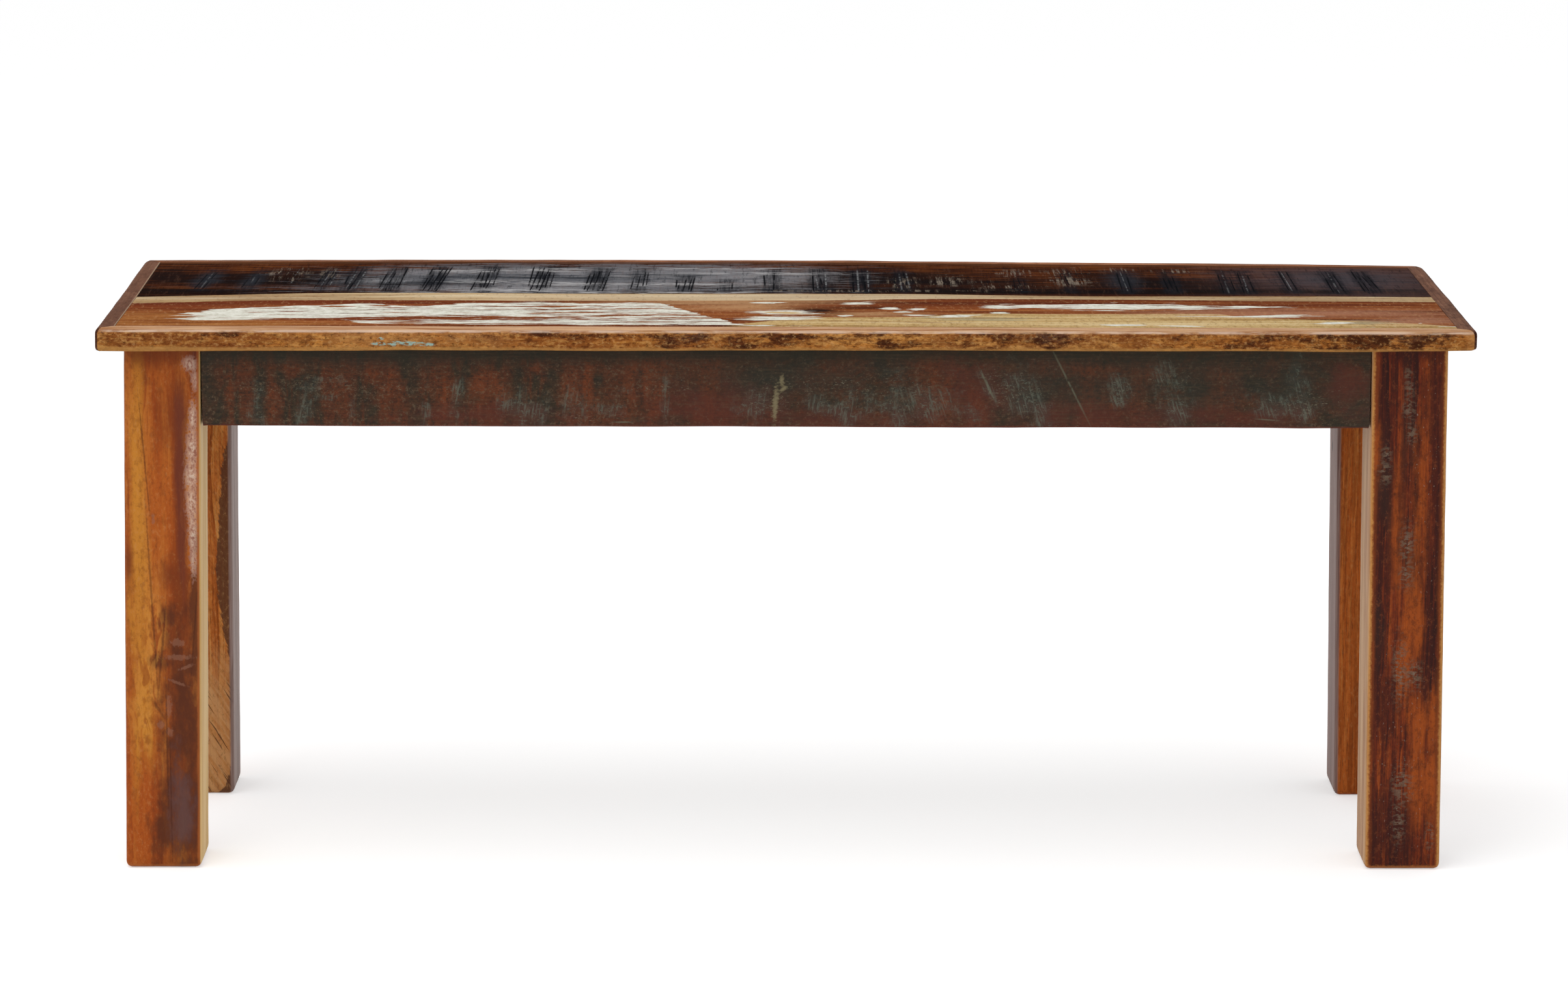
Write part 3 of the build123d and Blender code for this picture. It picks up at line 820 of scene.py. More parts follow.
def boardFrontFinish():
    # reclaimed hardwood with its pale sapwood edge, waxed; what is left of a cream oil paint has
    # flaked off along the grain. It gives the eye warm satin wood with matt, broken streaks of cream.
    look = boardFrontLook
    at = wood("reclaimedHardwoodCreamPaint", "X", look)
    x, y, z = at["xyz"]
    full, depth = (-550, 550), (-180, -20)
    flaky = streaks((46, 5, 20), None, 31, 5.0, 0.6)
    onTop = pastLine(z, look["topFrom"], 1.0)
    sapLine = lineAlong(x, look["sapLine"], full, (-70, 0))
    sap = pastLine(y, sapLine, 1.5, at["fibre"], 2.0)
    seamLine = addNode("Math", {0: sapLine, 1: look["seam"]}, operation="SUBTRACT").outputs[0]
    darkSeam = without(pastLine(y, seamLine, 4.0), sap)
    faded = marked("tanFade", 0.95, at["fibre"], 1.2)
    layOver(without(darkSeam, faded), "#5c2410", amount=0.8)
    daub("redBrown", 0.8, flaky, 0.8, "#6d2f17", 0.75)
    layOver(sap, toneRamp(at["tone"], look["sapTones"]))
    layOver(both(sap, marked("sapDark", 0.9, at["fibre"], 1.4)), "#7a5636", amount=0.6)
    layOver(both(sap, marked("sapPale", 0.9, flaky, 0.6)), "#d3c3a9", amount=0.45)
    tanLine = lineAlong(x, look["tanLine"], full, depth)
    tan = both(pastLine(tanLine, y, 3.0, flaky, 3.0), pastLine(x, look["tanFrom"], 20))
    layOver(tan, toneRamp(at["tone"], look["tanTones"]), amount=0.95)
    daub("amber", 0.7, flaky, 0.5, toneRamp(at["fibre"], look["amberTones"]), 0.85)
    daub("darkLines", 0.6, at["fibre"], 1.3, "#6b3817", 0.6)
    daub("flow", 0.8, flaky, 0.6, "#6e2f15", 0.45)
    layOver(without(faded, sap), "#b48a62", amount=0.8)
    layOver(without(marked("pinkFade", 0.95, at["fibre"], 1.2), sap), "#ab7a60", amount=0.7)
    layOver(without(marked("darkFade", 0.8, at["fibre"], 1.2), sap), "#552315", amount=0.7)
    daub("swirl", 0.7, at["fibre"], 0.9, "#47210f", 0.8)
    toothed((4.2, 11, 20), 35, "#5f3117", "#c39a6c", (0.34, 0.28))
    toothed((3.2, 9, 20), 36, "#7a5a36", "#dcc9a2", (both(tan, 0.45), both(tan, 0.3)))
    layOver(marked("knot", 0.5, flaky, 0.5), "#24130d", amount=0.95, lift=-0.3)
    daub("greyScuffs", 0.5, flaky, 1.5, "#8c8a72", 0.5)
    between = both(pastLine(lineAlong(x, look["paintTop"], full, depth), y, 0.8, flaky, 8.0),
                   pastLine(y, lineAlong(x, look["paintLow"], full, depth), 0.8, flaky, 8.0),
                   pastLine(x, look["paintFrom"], 4.0, flaky, 26.0))
    cracks = streaks((74, 6, 20), (0.575, 0.592), 37, 6.0, 0.66)
    gaps = marked("gaps", 0.16, flaky, 1.5)
    hair = both(streaks((50, 3.4, 20), (0.575, 0.592), 39, 4.0, 0.62), pastLine(x, look["hairFrom"], 60))
    body = without(without(between, gaps), either(cracks, hair))
    flakes = marked("flakes", 0.1, flaky, 1.0)
    paint = both(either(body, flakes), onTop)
    grime = streaks((9, 9, 20), None, 41, 5.0, 0.8)
    layOver(paint, toneRamp(grime, look["paintTones"]), 0.55, 0.16)
    bare = both(marked("bare", 0.3, flaky, 0.6), onTop)
    layOver(bare, "#c2a06a", 0.6, -0.16, 0.9)
    return varnish(0.002)


boardRearLook = {
    "face": seatTop, "rearEdge": 0.150, "sawnFrom": 0.008, "sawnTo": 0.134,  # m
    "seed": 11, "wander": 7, "pith": (0, 90, 760), "ring": 9, "shares": (0.2, 1.0, 1.1),
    "tones": {0.25: "#0e0504", 0.42: "#1a0b06", 0.58: "#2b130a", 0.78: "#482413"},
    "pore": "#0b0606", "roughness": 0.5, "relief": 0.14,
    "brownTones": {0.36: "#220e07", 0.5: "#4c2410", 0.64: "#75411d"},
    # film: tones of the painted grey sheen, the reflection on the wax over the middle
    "film": {0.30: "#48464b", 0.43: "#67666a", 0.56: "#8a898c", 0.70: "#b9b6b4"},
    "marks": {
        "paintedWaxSheen": [(-215, 92, 120, 50), (-130, 86, 110, 58), (-70, 100, 90, 42), (-30, 84, 60, 42),
            (-301, 100, 44, 30), (-331, 66, 34, 18), (-200, 30, 160, 18), (-8, 80, 14, 20)],
        "warmFilm": [(8, 96, 24, 34), (-30, 60, 50, 20)],
        "brown": [(-442, 128, 120, 36), (-500, 40, 40, 14), (-430, 30, 50, 10), (-330, 20, 60, 10),
            (60, 132, 120, 22), (200, 104, 40, 20), (350, 110, 50, 20), (90, 40, 40, 12),
            (301, 146, 250, 22), (130, 122, 60, 34), (231, 70, 40, 34), (170, 84, 24, 40),
            (-350, 120, 60, 24)],
        "black": [(-396, 96, 34, 26), (40, 84, 50, 40), (-400, 58, 150, 20), (-457, 88, 44, 14),
            (-440, 14, 110, 7), (200, 24, 300, 14), (130, 66, 90, 26), (290, 60, 60, 30), (60, 70, 60, 50),
            (110, 100, 50, 20), (-520, 90, 16, 30)],
        "purple": [(470, 83, 90, 90)],
        "paintedBlueSheen": [(-485, 70, 9, 34, -4), (-446, 62, 8, 28, -4), (-250, 78, 70, 22), (-160, 76, 60, 18),
            (285, 80, 12, 40), (470, 90, 40, 40)],
        "greyDark": [(-240, 86, 70, 6), (-160, 82, 50, 5), (-100, 96, 40, 5), (-300, 56, 40, 7)],
        "paintedSheenStreaks": [(-236, 62, 34, 9), (-270, 112, 24, 8), (-205, 118, 34, 8), (-224, 24, 50, 8),
            (-150, 12, 150, 4), (-20, 104, 60, 6), (-60, 126, 50, 5), (-100, 50, 60, 7), (-190, 52, 40, 7)],
        "paleTicks": [(-421, 104, 13, 18), (-419, 76, 10, 12), (-384, 104, 6, 18), (135, 70, 13, 20),
            (169, 52, 9, 18), (197, 112, 13, 14), (195, 40, 15, 10), (238, 118, 15, 16), (240, 74, 13, 22),
            (285, 130, 11, 8), (98, 60, 14, 20), (330, 126, 14, 8), (70, 22, 70, 4)],
    },
}


def boardRearFinish():
    # old dark hardwood with its sawn face left on, oiled nearly black; the sheen of its wax over the middle
    # is a painted grey reflection, and the saw grooves carry painted shade and painted highlights. It gives
    # the eye a dark, softly shining board with bluish marks across the grain.
    look = boardRearLook
    at = wood("sawnBlackenedHardwood", "X", look)
    y = at["xyz"][1]
    cloudy = streaks((70, 14, 20), None, 51, 5.0, 0.64)
    mark, light, band = (addNode("Attribute", attribute_name=name).outputs["Fac"]
                         for name in ("sawGrooveShade", "sawHighlight", "sawBand"))
    grainy = streaks((70, 5, 20), None, 53, 5.0, 0.66)
    daub("brown", 0.8, cloudy, 1.0, toneRamp(grainy, look["brownTones"]), 0.9)
    daub("purple", 0.9, cloudy, 0.8, "#544444", 0.72)
    daub("black", 0.8, cloudy, 1.2, "#110a0a", 0.85)
    brushed = streaks((50, 7, 20), None, 57, 6.0, 0.8)
    daub("warmFilm", 0.8, brushed, 1.4, "#6d5c54", 0.6)
    # painted sheen: the grey reflection of the wax over the middle of the board
    daub("paintedWaxSheen", 0.6, brushed, 1.5, toneRamp(brushed, look["film"]), 0.92)
    # painted sheen: paler streaks within the grey reflection
    pale = both(marked("paintedSheenStreaks", 0.6, brushed, 1.4), streaks((24, 6, 20), (0.42, 0.56), 59, 5.0, 0.7))
    toothed((3.2, 34, 20), 58, "#100b0c", "#5f4234", (0.5, 0.2))
    # painted sheen: a bluish reflection over the saw groups and the grey middle
    daub("paintedBlueSheen", 0.9, brushed, 1.2, "#353b43", 0.5)
    layOver(pastLine(y, look["rearEdge"], 4, cloudy, 6), "#5e3a24", amount=0.6)
    daub("greyDark", 0.8, brushed, 1.6, "#24282d", 0.7)
    # the saw has torn the fibres on both sides of its cuts: ragged along the grain, scratched across it
    torn = streaks((24, 7, 20), None, 61, 6.0, 0.75)
    scratch = streaks((2.6, 90, 20), (0.44, 0.58), 67, 4.0, 0.65)
    inside = both(pastLine(look["sawnTo"], y, 7, torn, 16), pastLine(y, look["sawnFrom"], 5, torn, 10))
    layOver(both(pastLine(band, 0.40, 170, torn, 620), inside), "#1b1e24", amount=0.5)
    layOver(both(band, scratch, inside), "#0a0c11", amount=0.85)
    # the paler streaks of the painted sheen
    layOver(pale, "#adabab", amount=0.75)
    broken = streaks((14, 34, 20), (0.34, 0.48), 69, 4.0, 0.65)
    # painted shade along the saw grooves
    layOver(both(pastLine(mark, 0.35, 300), broken), "#07090d", amount=0.95)
    # painted highlights on each other saw line
    layOver(both(light, broken, streaks((30, 8, 20), (0.40, 0.54), 63)), "#a3a5a6", amount=0.65)
    ticks = both(marked("paleTicks", 0.8, torn, 1.4), streaks((2.6, 44, 20), (0.49, 0.62), 64, 4.0, 0.7))
    layOver(ticks, "#8b7e70", amount=0.7)
    return varnish(0.0004)


stripFrontLook = {
    # on the round nose: a worn band that is partly painted highlight, and a thin painted highlight line at
    # the arris
    "face": stripFace, "underTo": 0.4345, "wornFrom": 0.4467, "arrisFrom": 0.4464, "arrisHighlightTo": 0.4482,  # m
    "seed": 21, "wander": 5, "pith": (0, -175, 300), "ring": 4, "shares": (0.1, 0.5, 0.8),
    "tones": {0.25: "#8a4e20", 0.4: "#b06d32", 0.54: "#c8853f", 0.72: "#dca561"},
    "worn": {0.38: "#94623f", 0.5: "#b98e6a", 0.62: "#d0a984"}, "pore": "#4a2610",
    "poreSize": (7, 1.3), "poreShare": 0.5, "roughness": 0.5, "relief": 0.12,
    "flecks": [(-323.2, 437.5, 4, 0.8), (-314.2, 437.1, 3, 0.9, -10), (-305.2, 438.5, 5, 0.9),
        (-294.2, 437.5, 7, 1.0), (-285.1, 436.9, 4, 0.7), (-322.2, 441.6, 1.5, 0.7)],
    "marks": {
        "dark": [(-177, 441.5, 30, 3.6), (-134, 441, 28, 3), (-150, 442, 90, 2.2), (-97, 440.5, 8, 5),
            (-61, 441, 24, 5), (-13, 441.5, 22, 4.6), (10, 442.5, 80, 2.2), (28, 442, 20, 3),
            (78, 440, 10, 5), (97, 441.5, 9, 4.6), (168, 441.5, 20, 4.8), (205, 441, 18, 5.6),
            (355, 440.5, 10, 4.6), (376, 441, 13, 4.6), (370, 442.5, 60, 2), (466, 441, 52, 6.2),
            (438, 440.6, 34, 5.2), (-447, 441.5, 9, 3.6), (-460, 442.5, 3, 2.4)],
        "ruddy": [(-500, 441, 80, 9), (-450, 442, 60, 9), (215, 441, 90, 9), (260, 440, 50, 9),
            (-490, 441, 70, 6), (-510, 440, 50, 6), (225, 441, 80, 5.6), (250, 442, 40, 4),
            (-530, 441.5, 26, 4), (-482, 441, 14, 4), (-447, 441, 30, 5), (-379, 440.5, 10, 4.6),
            (-160, 441, 60, 6), (-40, 441, 70, 6), (125, 441.5, 40, 5), (190, 441, 50, 6),
            (285, 440, 30, 4), (380, 441, 50, 6), (-300, 440, 26, 3)],
        "golden": [(-318, 441, 70, 5.6), (-240, 441, 30, 5)],
        "smear": [(205, 442.5, 22, 4), (-72, 441.5, 26, 4), (500, 441, 24, 4)],
        "paleEnd": [(548.6, 441.9, 7, 12)],
    },
}


def stripFrontFinish():
    # a hardwood lipping planed to a round nose and lacquered, stained dark in places along its face.
    # It gives the eye amber grain with brown clouds, and along the top a pinkish band that is worn and partly
    # a painted highlight of the round nose, with a thin painted highlight line at the arris.
    look = stripFrontLook
    at = wood("planedHardwoodLipping", "X", look)
    z = at["xyz"][2]
    stain = streaks((11, 20, 4.6), (0.42, 0.56), 71, 6.0, 0.78)
    dashes = streaks((6, 20, 1.9), (0.54, 0.60), 73, 4.0, 0.65)
    cloudy = streaks((24, 20, 9), None, 75, 6.0, 0.7)
    dark = marked("dark", 0.5, cloudy, 1.6)
    layOver(dashes, "#5a2f14", amount=0.6)
    layOver(stain, "#7a431c", amount=0.55)
    daub("golden", 0.9, cloudy, 1.2, "#c58f56", 0.45)
    daub("ruddy", 0.9, cloudy, 1.4, "#743b1c", 0.7)
    layOver(streaks((10, 20, 3), (0.52, 0.62), 76, 5.0, 0.7), "#dba35c", amount=0.4)
    layOver(dark, "#5d3019", amount=0.85)
    layOver(both(dark, either(stain, dashes)), "#3a1e12", amount=0.85)
    toothed((3.6, 20, 2.8), 77, "#4a2411", "#d6a468", (0.7, 0.45))
    layOver(both(marked("smear", 0.8, stain, 0.6), stain), "#7c7062", amount=0.55)
    layOver(pastLine(look["underTo"], z, 1.2, cloudy, 1.5), "#bd8a4e", amount=0.65)
    # the pinkish band over the round nose: wear, and partly a painted highlight
    layOver(pastLine(z, look["wornFrom"], 1.2, cloudy, 1.2), toneRamp(at["fibre"], look["worn"]), 0.45,
            amount=0.9)
    # a thin painted highlight line along the arris
    arris = both(pastLine(z, look["arrisFrom"], 0.5), pastLine(look["arrisHighlightTo"], z, 0.6),
                 streaks((34, 20, 4), (0.38, 0.56), 78, 5.0, 0.7))
    layOver(arris, "#e6ccb8", amount=0.55)
    flecks = both(spots(stripFace, look["flecks"], 0.5, dashes, 0.3),
                  streaks((4, 20, 1.6), (0.42, 0.5), 79, 4.0, 0.65))
    layOver(flecks, "#9fb8ad", 0.6, 0.1)
    daub("paleEnd", 0.8, cloudy, 0.8, "#c88d54", 0.8)
    return varnish(0.02)


stripEndLook = {
    "underTo": 0.4345, "wornFrom": 0.4485, "glueFrom": -0.5352,  # m
    "seed": 31, "wander": 5, "pith": (-540, 0, 330), "ring": 4, "shares": (0.25, 0.9, 0.9),
    "tones": {0.25: "#2f1710", 0.42: "#4a2a1f", 0.58: "#5e3d2d", 0.78: "#7a5645"},
    "pore": "#2c150e", "roughness": 0.5, "relief": 0.12,
}
stripRearLook = {
    "underTo": 0.4345, "wornFrom": 0.4485,  # m
    "seed": 37, "wander": 5, "pith": (0, 170, 300), "ring": 4, "shares": (0.25, 0.9, 0.9),
    "tones": {0.25: "#4a2413", 0.45: "#74391d", 0.6: "#8f5230", 0.8: "#aa7150"}, "pore": "#2c150e",
    "roughness": 0.5, "relief": 0.12,
}


def stripFinish(name, grain, look, worn):
    # a hardwood lipping, planed, stained and lacquered: a plain satin band with a paler worn edge
    at = wood(name, grain, look)
    x, z = at["xyz"][0], at["xyz"][2]
    cloudy = streaks(along(grain, 50, 9), None, look["seed"] + 5, 4.0, 0.6)
    layOver(pastLine(z, look["wornFrom"], 1.0, cloudy, 1.0), worn, 0.45, amount=0.25)
    layOver(pastLine(look["underTo"], z, 1.0, cloudy, 1.0), worn, amount=0.4)
    blotched = streaks(along(grain, 60, 30), (0.45, 0.6), look["seed"] + 6, 4.0, 0.65)
    layOver(blotched, look["pore"], amount=0.3)
    toothed(along(grain, 14, 4), look["seed"] + 7, look["pore"], worn, (0.4, 0.25))
    if grain == "Y":
        # the left one is darker, and a pale line of glue shows along its inner edge
        onLeft = pastLine(0.0, x, 100)
        layOver(onLeft, "#54301f", amount=0.35)
        layOver(both(pastLine(x, look["glueFrom"], 0.4), onLeft), "#b39a80", amount=0.5)
    return varnish(0.004)


footRim = 0.0034  # how high the stain has worn off round a foot, m

legFrontLeftLook = {
    "face": legFace, "sideFrom": -0.4693, "arrisFrom": -0.4712,  # m
    "seed": 41, "wander": 16, "pith": (-470, -260, 0), "ring": 9, "shares": (0.18, 0.5, 1.3),
    "tones": {0.25: "#863f11", 0.42: "#a6521b", 0.58: "#bd6a27", 0.78: "#d08637"},
    "pore": "#6e3512", "poreSize": (20, 1.0), "poreShare": 0.25, "roughness": 0.42, "relief": 0.08,
    "scars": [(-491, 188.4, 6, 3), (-490, 176.4, 11, 2.2), (-499, 135.2, 2.4, 9), (-506, 120.2, 3, 3),
        (-499, 114.2, 3, 3.6), (-470, 221.5, 3.4, 5), (-508.5, 290.7, 1.4, 5), (-484, 168.3, 6, 1.4, 20),
        (-492, 155.3, 8, 1.2, -20)],
    "cracks": [(-514.5, 338, 0.6, 44, 4.3), (-511, 223, 0.8, 72, 2.6), (-501, 105, 0.6, 50),
        (-498.6, 60, 0.5, 50), (-476.5, 205.4, 0.6, 42, -5), (-503.8, 180.4, 0.8, 36, -6),
        (-508, 134.2, 1.2, 8, 30), (-472, 160.3, 0.6, 26)],
    "side": {0.3: "#e2b468", 0.5: "#f4cc88", 0.7: "#f8d89e"},
    "marks": {
        "gold": [(-518, 300.7, 5, 150), (-516, 180, 6, 70), (-520, 190, 7, 40, 6), (-516, 143, 5, 18, -8),
            (-512, 122, 5, 28, 4), (-519, 100, 3, 40)],
        "orange": [(-498, 320.8, 12, 110), (-517, 48, 11, 60), (-519, 150, 7, 60), (-514, 34, 14, 44),
            (-518, 76, 9, 40), (-506, 110.1, 8, 24)],
        "brown": [(-488, 370.9, 14, 28), (-500, 426.1, 30, 10), (-493, 244.6, 8, 12),
            (-526, 254.6, 2.5, 14), (-480, 200.4, 8, 60), (-486, 345.9, 5, 60), (-475, 59.9, 8, 70),
            (-484, 110, 15, 120), (-490, 60, 12, 60)],
        "dark": [(-495, 206.5, 5, 9), (-489, 183.4, 9, 9), (-480, 140.2, 12, 36), (-500, 30, 9, 20),
            (-486, 54, 17, 58), (-478, 80, 7, 90), (-482, 20, 12, 18), (-480, 100, 10, 30),
            (-498, 172.4, 8, 5), (-473, 215.5, 4, 40)],
        "plum": [(-484, 372.9, 5, 20), (-484, 330.8, 5, 40), (-483, 280.7, 3.5, 40), (-472, 416, 4, 12)],
        "white": [(-476.5, 417, 6, 6), (-472.6, 403, 2.6, 9), (-474, 372.9, 3.4, 15),
            (-474.6, 347.9, 4.6, 18), (-475.4, 325.8, 5.4, 14), (-475, 302.7, 4.6, 16),
            (-474.4, 278.7, 3.6, 20), (-473.6, 256, 2.4, 16)],
        "figure": [(-514, 158, 11, 50), (-506, 200, 7, 24)],
        "sheen": [(-484, 48.9, 7, 30), (-481.5, 40.9, 3, 9), (-486, 70, 5, 20)],
    },
}


def keptAcross():
    # where a point of a leg was across the bench before its foot was moved
    return addNode("Attribute", attribute_name="across").outputs["Fac"]


def legFrontLeftFinish():
    # resinous softwood with a shellac-like orange varnish, worn through to pale wood along one arris.
    # It gives the eye glowing amber and orange clouds, dark brown burns and a chalky pink wear band.
    look = legFrontLeftLook
    at = wood("varnishedAmberPine", "Z", look)
    x, z = keptAcross(), at["xyz"][2]
    long = streaks((9, 9, 80), None, 83, 4.0, 0.6)
    blotch = streaks((12, 12, 26), None, 85, 5.0, 0.62)
    daub("orange", 0.8, long, 0.8, "#ab4a10", 0.65)
    daub("gold", 0.8, long, 0.8, "#d18a30", 0.8)
    toothed((2.6, 6, 4.4), 88, "#703414", "#cf9258", (0.34, 0.26))
    daub("brown", 0.8, long, 0.7, "#713012", 0.7)
    daub("dark", 0.7, blotch, 1.2, "#542916", 0.85)
    curl = streaks((7, 9, 20), None, 84, 3.0, 0.5, 1.4)
    figure = marked("figure", 0.8, long, 0.8)
    layOver(both(figure, pastLine(curl, 0.53, 70)), "#d8913f", amount=0.5)
    layOver(both(figure, pastLine(0.45, curl, 70)), "#8a3c14", amount=0.5)
    grimy = streaks((5, 5, 9), (0.50, 0.64), 89, 5.0, 0.7)
    layOver(grimy, "#7a3c16", amount=0.35)
    daub("plum", 0.7, long, 0.6, "#632f24", 0.62)
    daub("sheen", 0.9, blotch, 1.3, "#6f6066", 0.3)
    speck = streaks((2.2, 4, 3.2), None, 87, 4.0, 0.7)
    chalk = marked("white", 0.4, speck, 0.8)
    layOver(chalk, toneRamp(speck, {0.36: "#95665a", 0.5: "#c49c88", 0.62: "#ead6c2"}), 0.7, 0.1, 0.8)
    layOver(spots(legFace, look["scars"], 0.3, speck, 0.7), "#94644e", amount=0.5, lift=-0.25)
    layOver(spots(legFace, look["cracks"], 0.5, speck, 0.6), "#4a200e", amount=0.5, lift=-0.3)
    layOver(pastLine(footRim, z, 1.2, blotch, 1.0), "#b9692c", amount=0.55)
    layOver(pastLine(x, look["arrisFrom"], 0.9, blotch, 0.6), "#b3632f", amount=0.7)
    layOver(pastLine(x, look["sideFrom"], 0.7), toneRamp(at["tone"], look["side"]), 0.55)
    return varnish(0.16)


legFrontRightLook = {
    "face": legFace, "sideTo": 0.4692, "middle": (0.499, -0.120), "half": 0.031,  # m
    "seed": 53, "wander": 10, "pith": (560, -330, 0), "ring": 7, "shares": (0.2, 1.2, 1.3),
    "tones": {0.25: "#2e0e08", 0.42: "#4a1a0d", 0.58: "#702a10", 0.8: "#9c4819"}, "pore": "#260e07",
    "poreSize": (13, 1.5), "poreShare": 0.6, "roughness": 0.45, "relief": 0.14,
    "side": {0.3: "#a8744c", 0.5: "#c99a70", 0.7: "#dab489"},
    "marks": {
        "orange": [(472.5, 340.5, 4, 24), (491, 304.4, 5, 50), (508.8, 305.4, 6, 60), (471.4, 285.4, 2, 40),
            (507, 209.1, 6, 36), (514.6, 124.8, 12, 26), (516, 74.5, 11, 30), (498, 190, 6, 60)],
        "dark": [(482.6, 337.5, 4.5, 46), (521.8, 384.7, 9, 42), (522, 300.4, 8, 54), (496.7, 321.5, 6, 34),
            (479.2, 302.4, 7.5, 22), (477.3, 256.3, 7.5, 22), (474.5, 206.1, 6, 44), (478, 133.8, 11, 26),
            (477.6, 36.4, 11, 38), (498.2, 25.3, 7, 26), (518.2, 186, 3, 13), (500, 427.8, 32, 7)],
        "green": [(480, 318.5, 5, 34), (498.6, 376.6, 5, 36), (477, 200.1, 5, 24), (499, 262.3, 5, 26)],
        "flakes": [(497.8, 409.7, 3, 6.5), (498.4, 398.7, 3.4, 5), (498.8, 382.7, 4.4, 9),
            (500.8, 362.6, 3.6, 8), (480, 330.5, 5, 9), (481, 345.6, 3.6, 6.5), (498.6, 271.3, 5, 14),
            (498.4, 247.2, 5.4, 11), (494.6, 166.9, 5.4, 24), (497.6, 70.5, 7, 16), (506.2, 162.9, 6, 10),
            (495.7, 39.4, 4.7, 16), (521, 28.3, 3.2, 11)],
        "speckArea": [(515, 330.5, 16, 100), (500, 99.7, 30, 90)],
    },
}


def arrisesOf(x, y, look, width, ragged):
    # 1 along the four long arrises of a leg, as wide as given in mm
    near = []
    for value, middle in zip((x, y), look["middle"]):
        away = addNode("Math", {0: value, 1: middle}, operation="SUBTRACT").outputs[0]
        away = addNode("Math", {0: away}, operation="ABSOLUTE").outputs[0]
        near.append(pastLine(away, look["half"] - width * mm, width * 0.5, ragged, width * 0.35))
    return both(*near)


def legFrontRightFinish():
    # dark reddish hardwood with its old oil paint scraped off, varnished: orange grain in between
    # brown-black stain, crumbs of grey-tan paint, and amber arrises where the stain has worn off.
    look = legFrontRightLook
    at = wood("scrapedReddishHardwood", "Z", look)
    x, (y, z) = keptAcross(), at["xyz"][1:]
    long = streaks((6, 8, 60), None, 93, 5.0, 0.62)
    crumb = streaks((2.6, 6, 2.6), None, 95, 4.0, 0.7)
    daub("orange", 0.8, long, 1.1, "#ad5219", 0.8)
    daub("dark", 0.7, long, 1.1, "#3c140d", 0.75)
    daub("green", 0.8, long, 0.8, "#2c2019", 0.5)
    blotchy = streaks((5, 6, 8), (0.48, 0.62), 91, 5.0, 0.72)
    layOver(blotchy, "#34150b", amount=0.4)
    toothed((2.6, 6, 4.0), 92, "#2e110a", "#a05933", (0.36, 0.24))
    flakes = both(marked("flakes", 0.7, crumb, 0.8), streaks((5, 6, 2.4), (0.47, 0.56), 97, 4.0, 0.65))
    layOver(flakes, toneRamp(crumb, {0.35: "#5d4636", 0.55: "#7d6a58", 0.7: "#a09080"}), 0.6, 0.15,
            0.75)
    specks = both(streaks((1.6, 6, 3.4), (0.66, 0.70), 99, 3.0, 0.6), marked("speckArea", 0.7))
    layOver(specks, "#a38f80", 0.6, 0.1, 0.6)
    layOver(arrisesOf(x, y, look, 5.0, long), "#964a1c", amount=0.6)
    layOver(arrisesOf(x, y, look, 2.8, crumb), "#d89a54", amount=0.85)
    layOver(pastLine(footRim, z, 1.2, crumb, 1.0), "#c4783a", amount=0.7)
    layOver(pastLine(look["sideTo"], x, 0.7), toneRamp(at["tone"], look["side"]), 0.55)
    return varnish(0.16)


legRearLeftLook = {
    "sideFrom": -0.4712, "outside": -0.468, "frontTo": 0.0915, "paleBelow": 0.115, "paleTo": 0.098,  # m
    "seed": 61, "wander": 26, "pith": (-430, 40, 180), "ring": 8, "shares": (0.3, 0.9, 0.9),
    "tones": {0.25: "#964c18", 0.42: "#bf672a", 0.58: "#d3813a", 0.8: "#e0a25c"}, "pore": "#4a240c",
    "roughness": 0.5, "relief": 0.16,
    "paintLine": [(0, 20), (110, -2), (122, 4), (133, 6), (149, 9), (171, 12), (199, 14), (230, 12),
        (265, 10), (292, 8), (310, 3), (326, -2), (432, -6)],
    "side": {0.3: "#806a63", 0.5: "#9c8279", 0.7: "#b09a92"},
}
legRearRightLook = {
    "sideTo": 0.4712,  # m
    "hole": [(125, 300, 2.5, 5)],
    "seed": 67, "wander": 6, "pith": (400, 260, 0), "ring": 3, "shares": (0.18, 1.0, 0.6),
    "tones": {0.25: "#964713", 0.42: "#ac531b", 0.58: "#bd6225", 0.8: "#cf7a37"}, "pore": "#4a240d",
    "roughness": 0.5, "relief": 0.12, "side": {0.3: "#755850", 0.5: "#8f7067", 0.7: "#a2877e"},
}


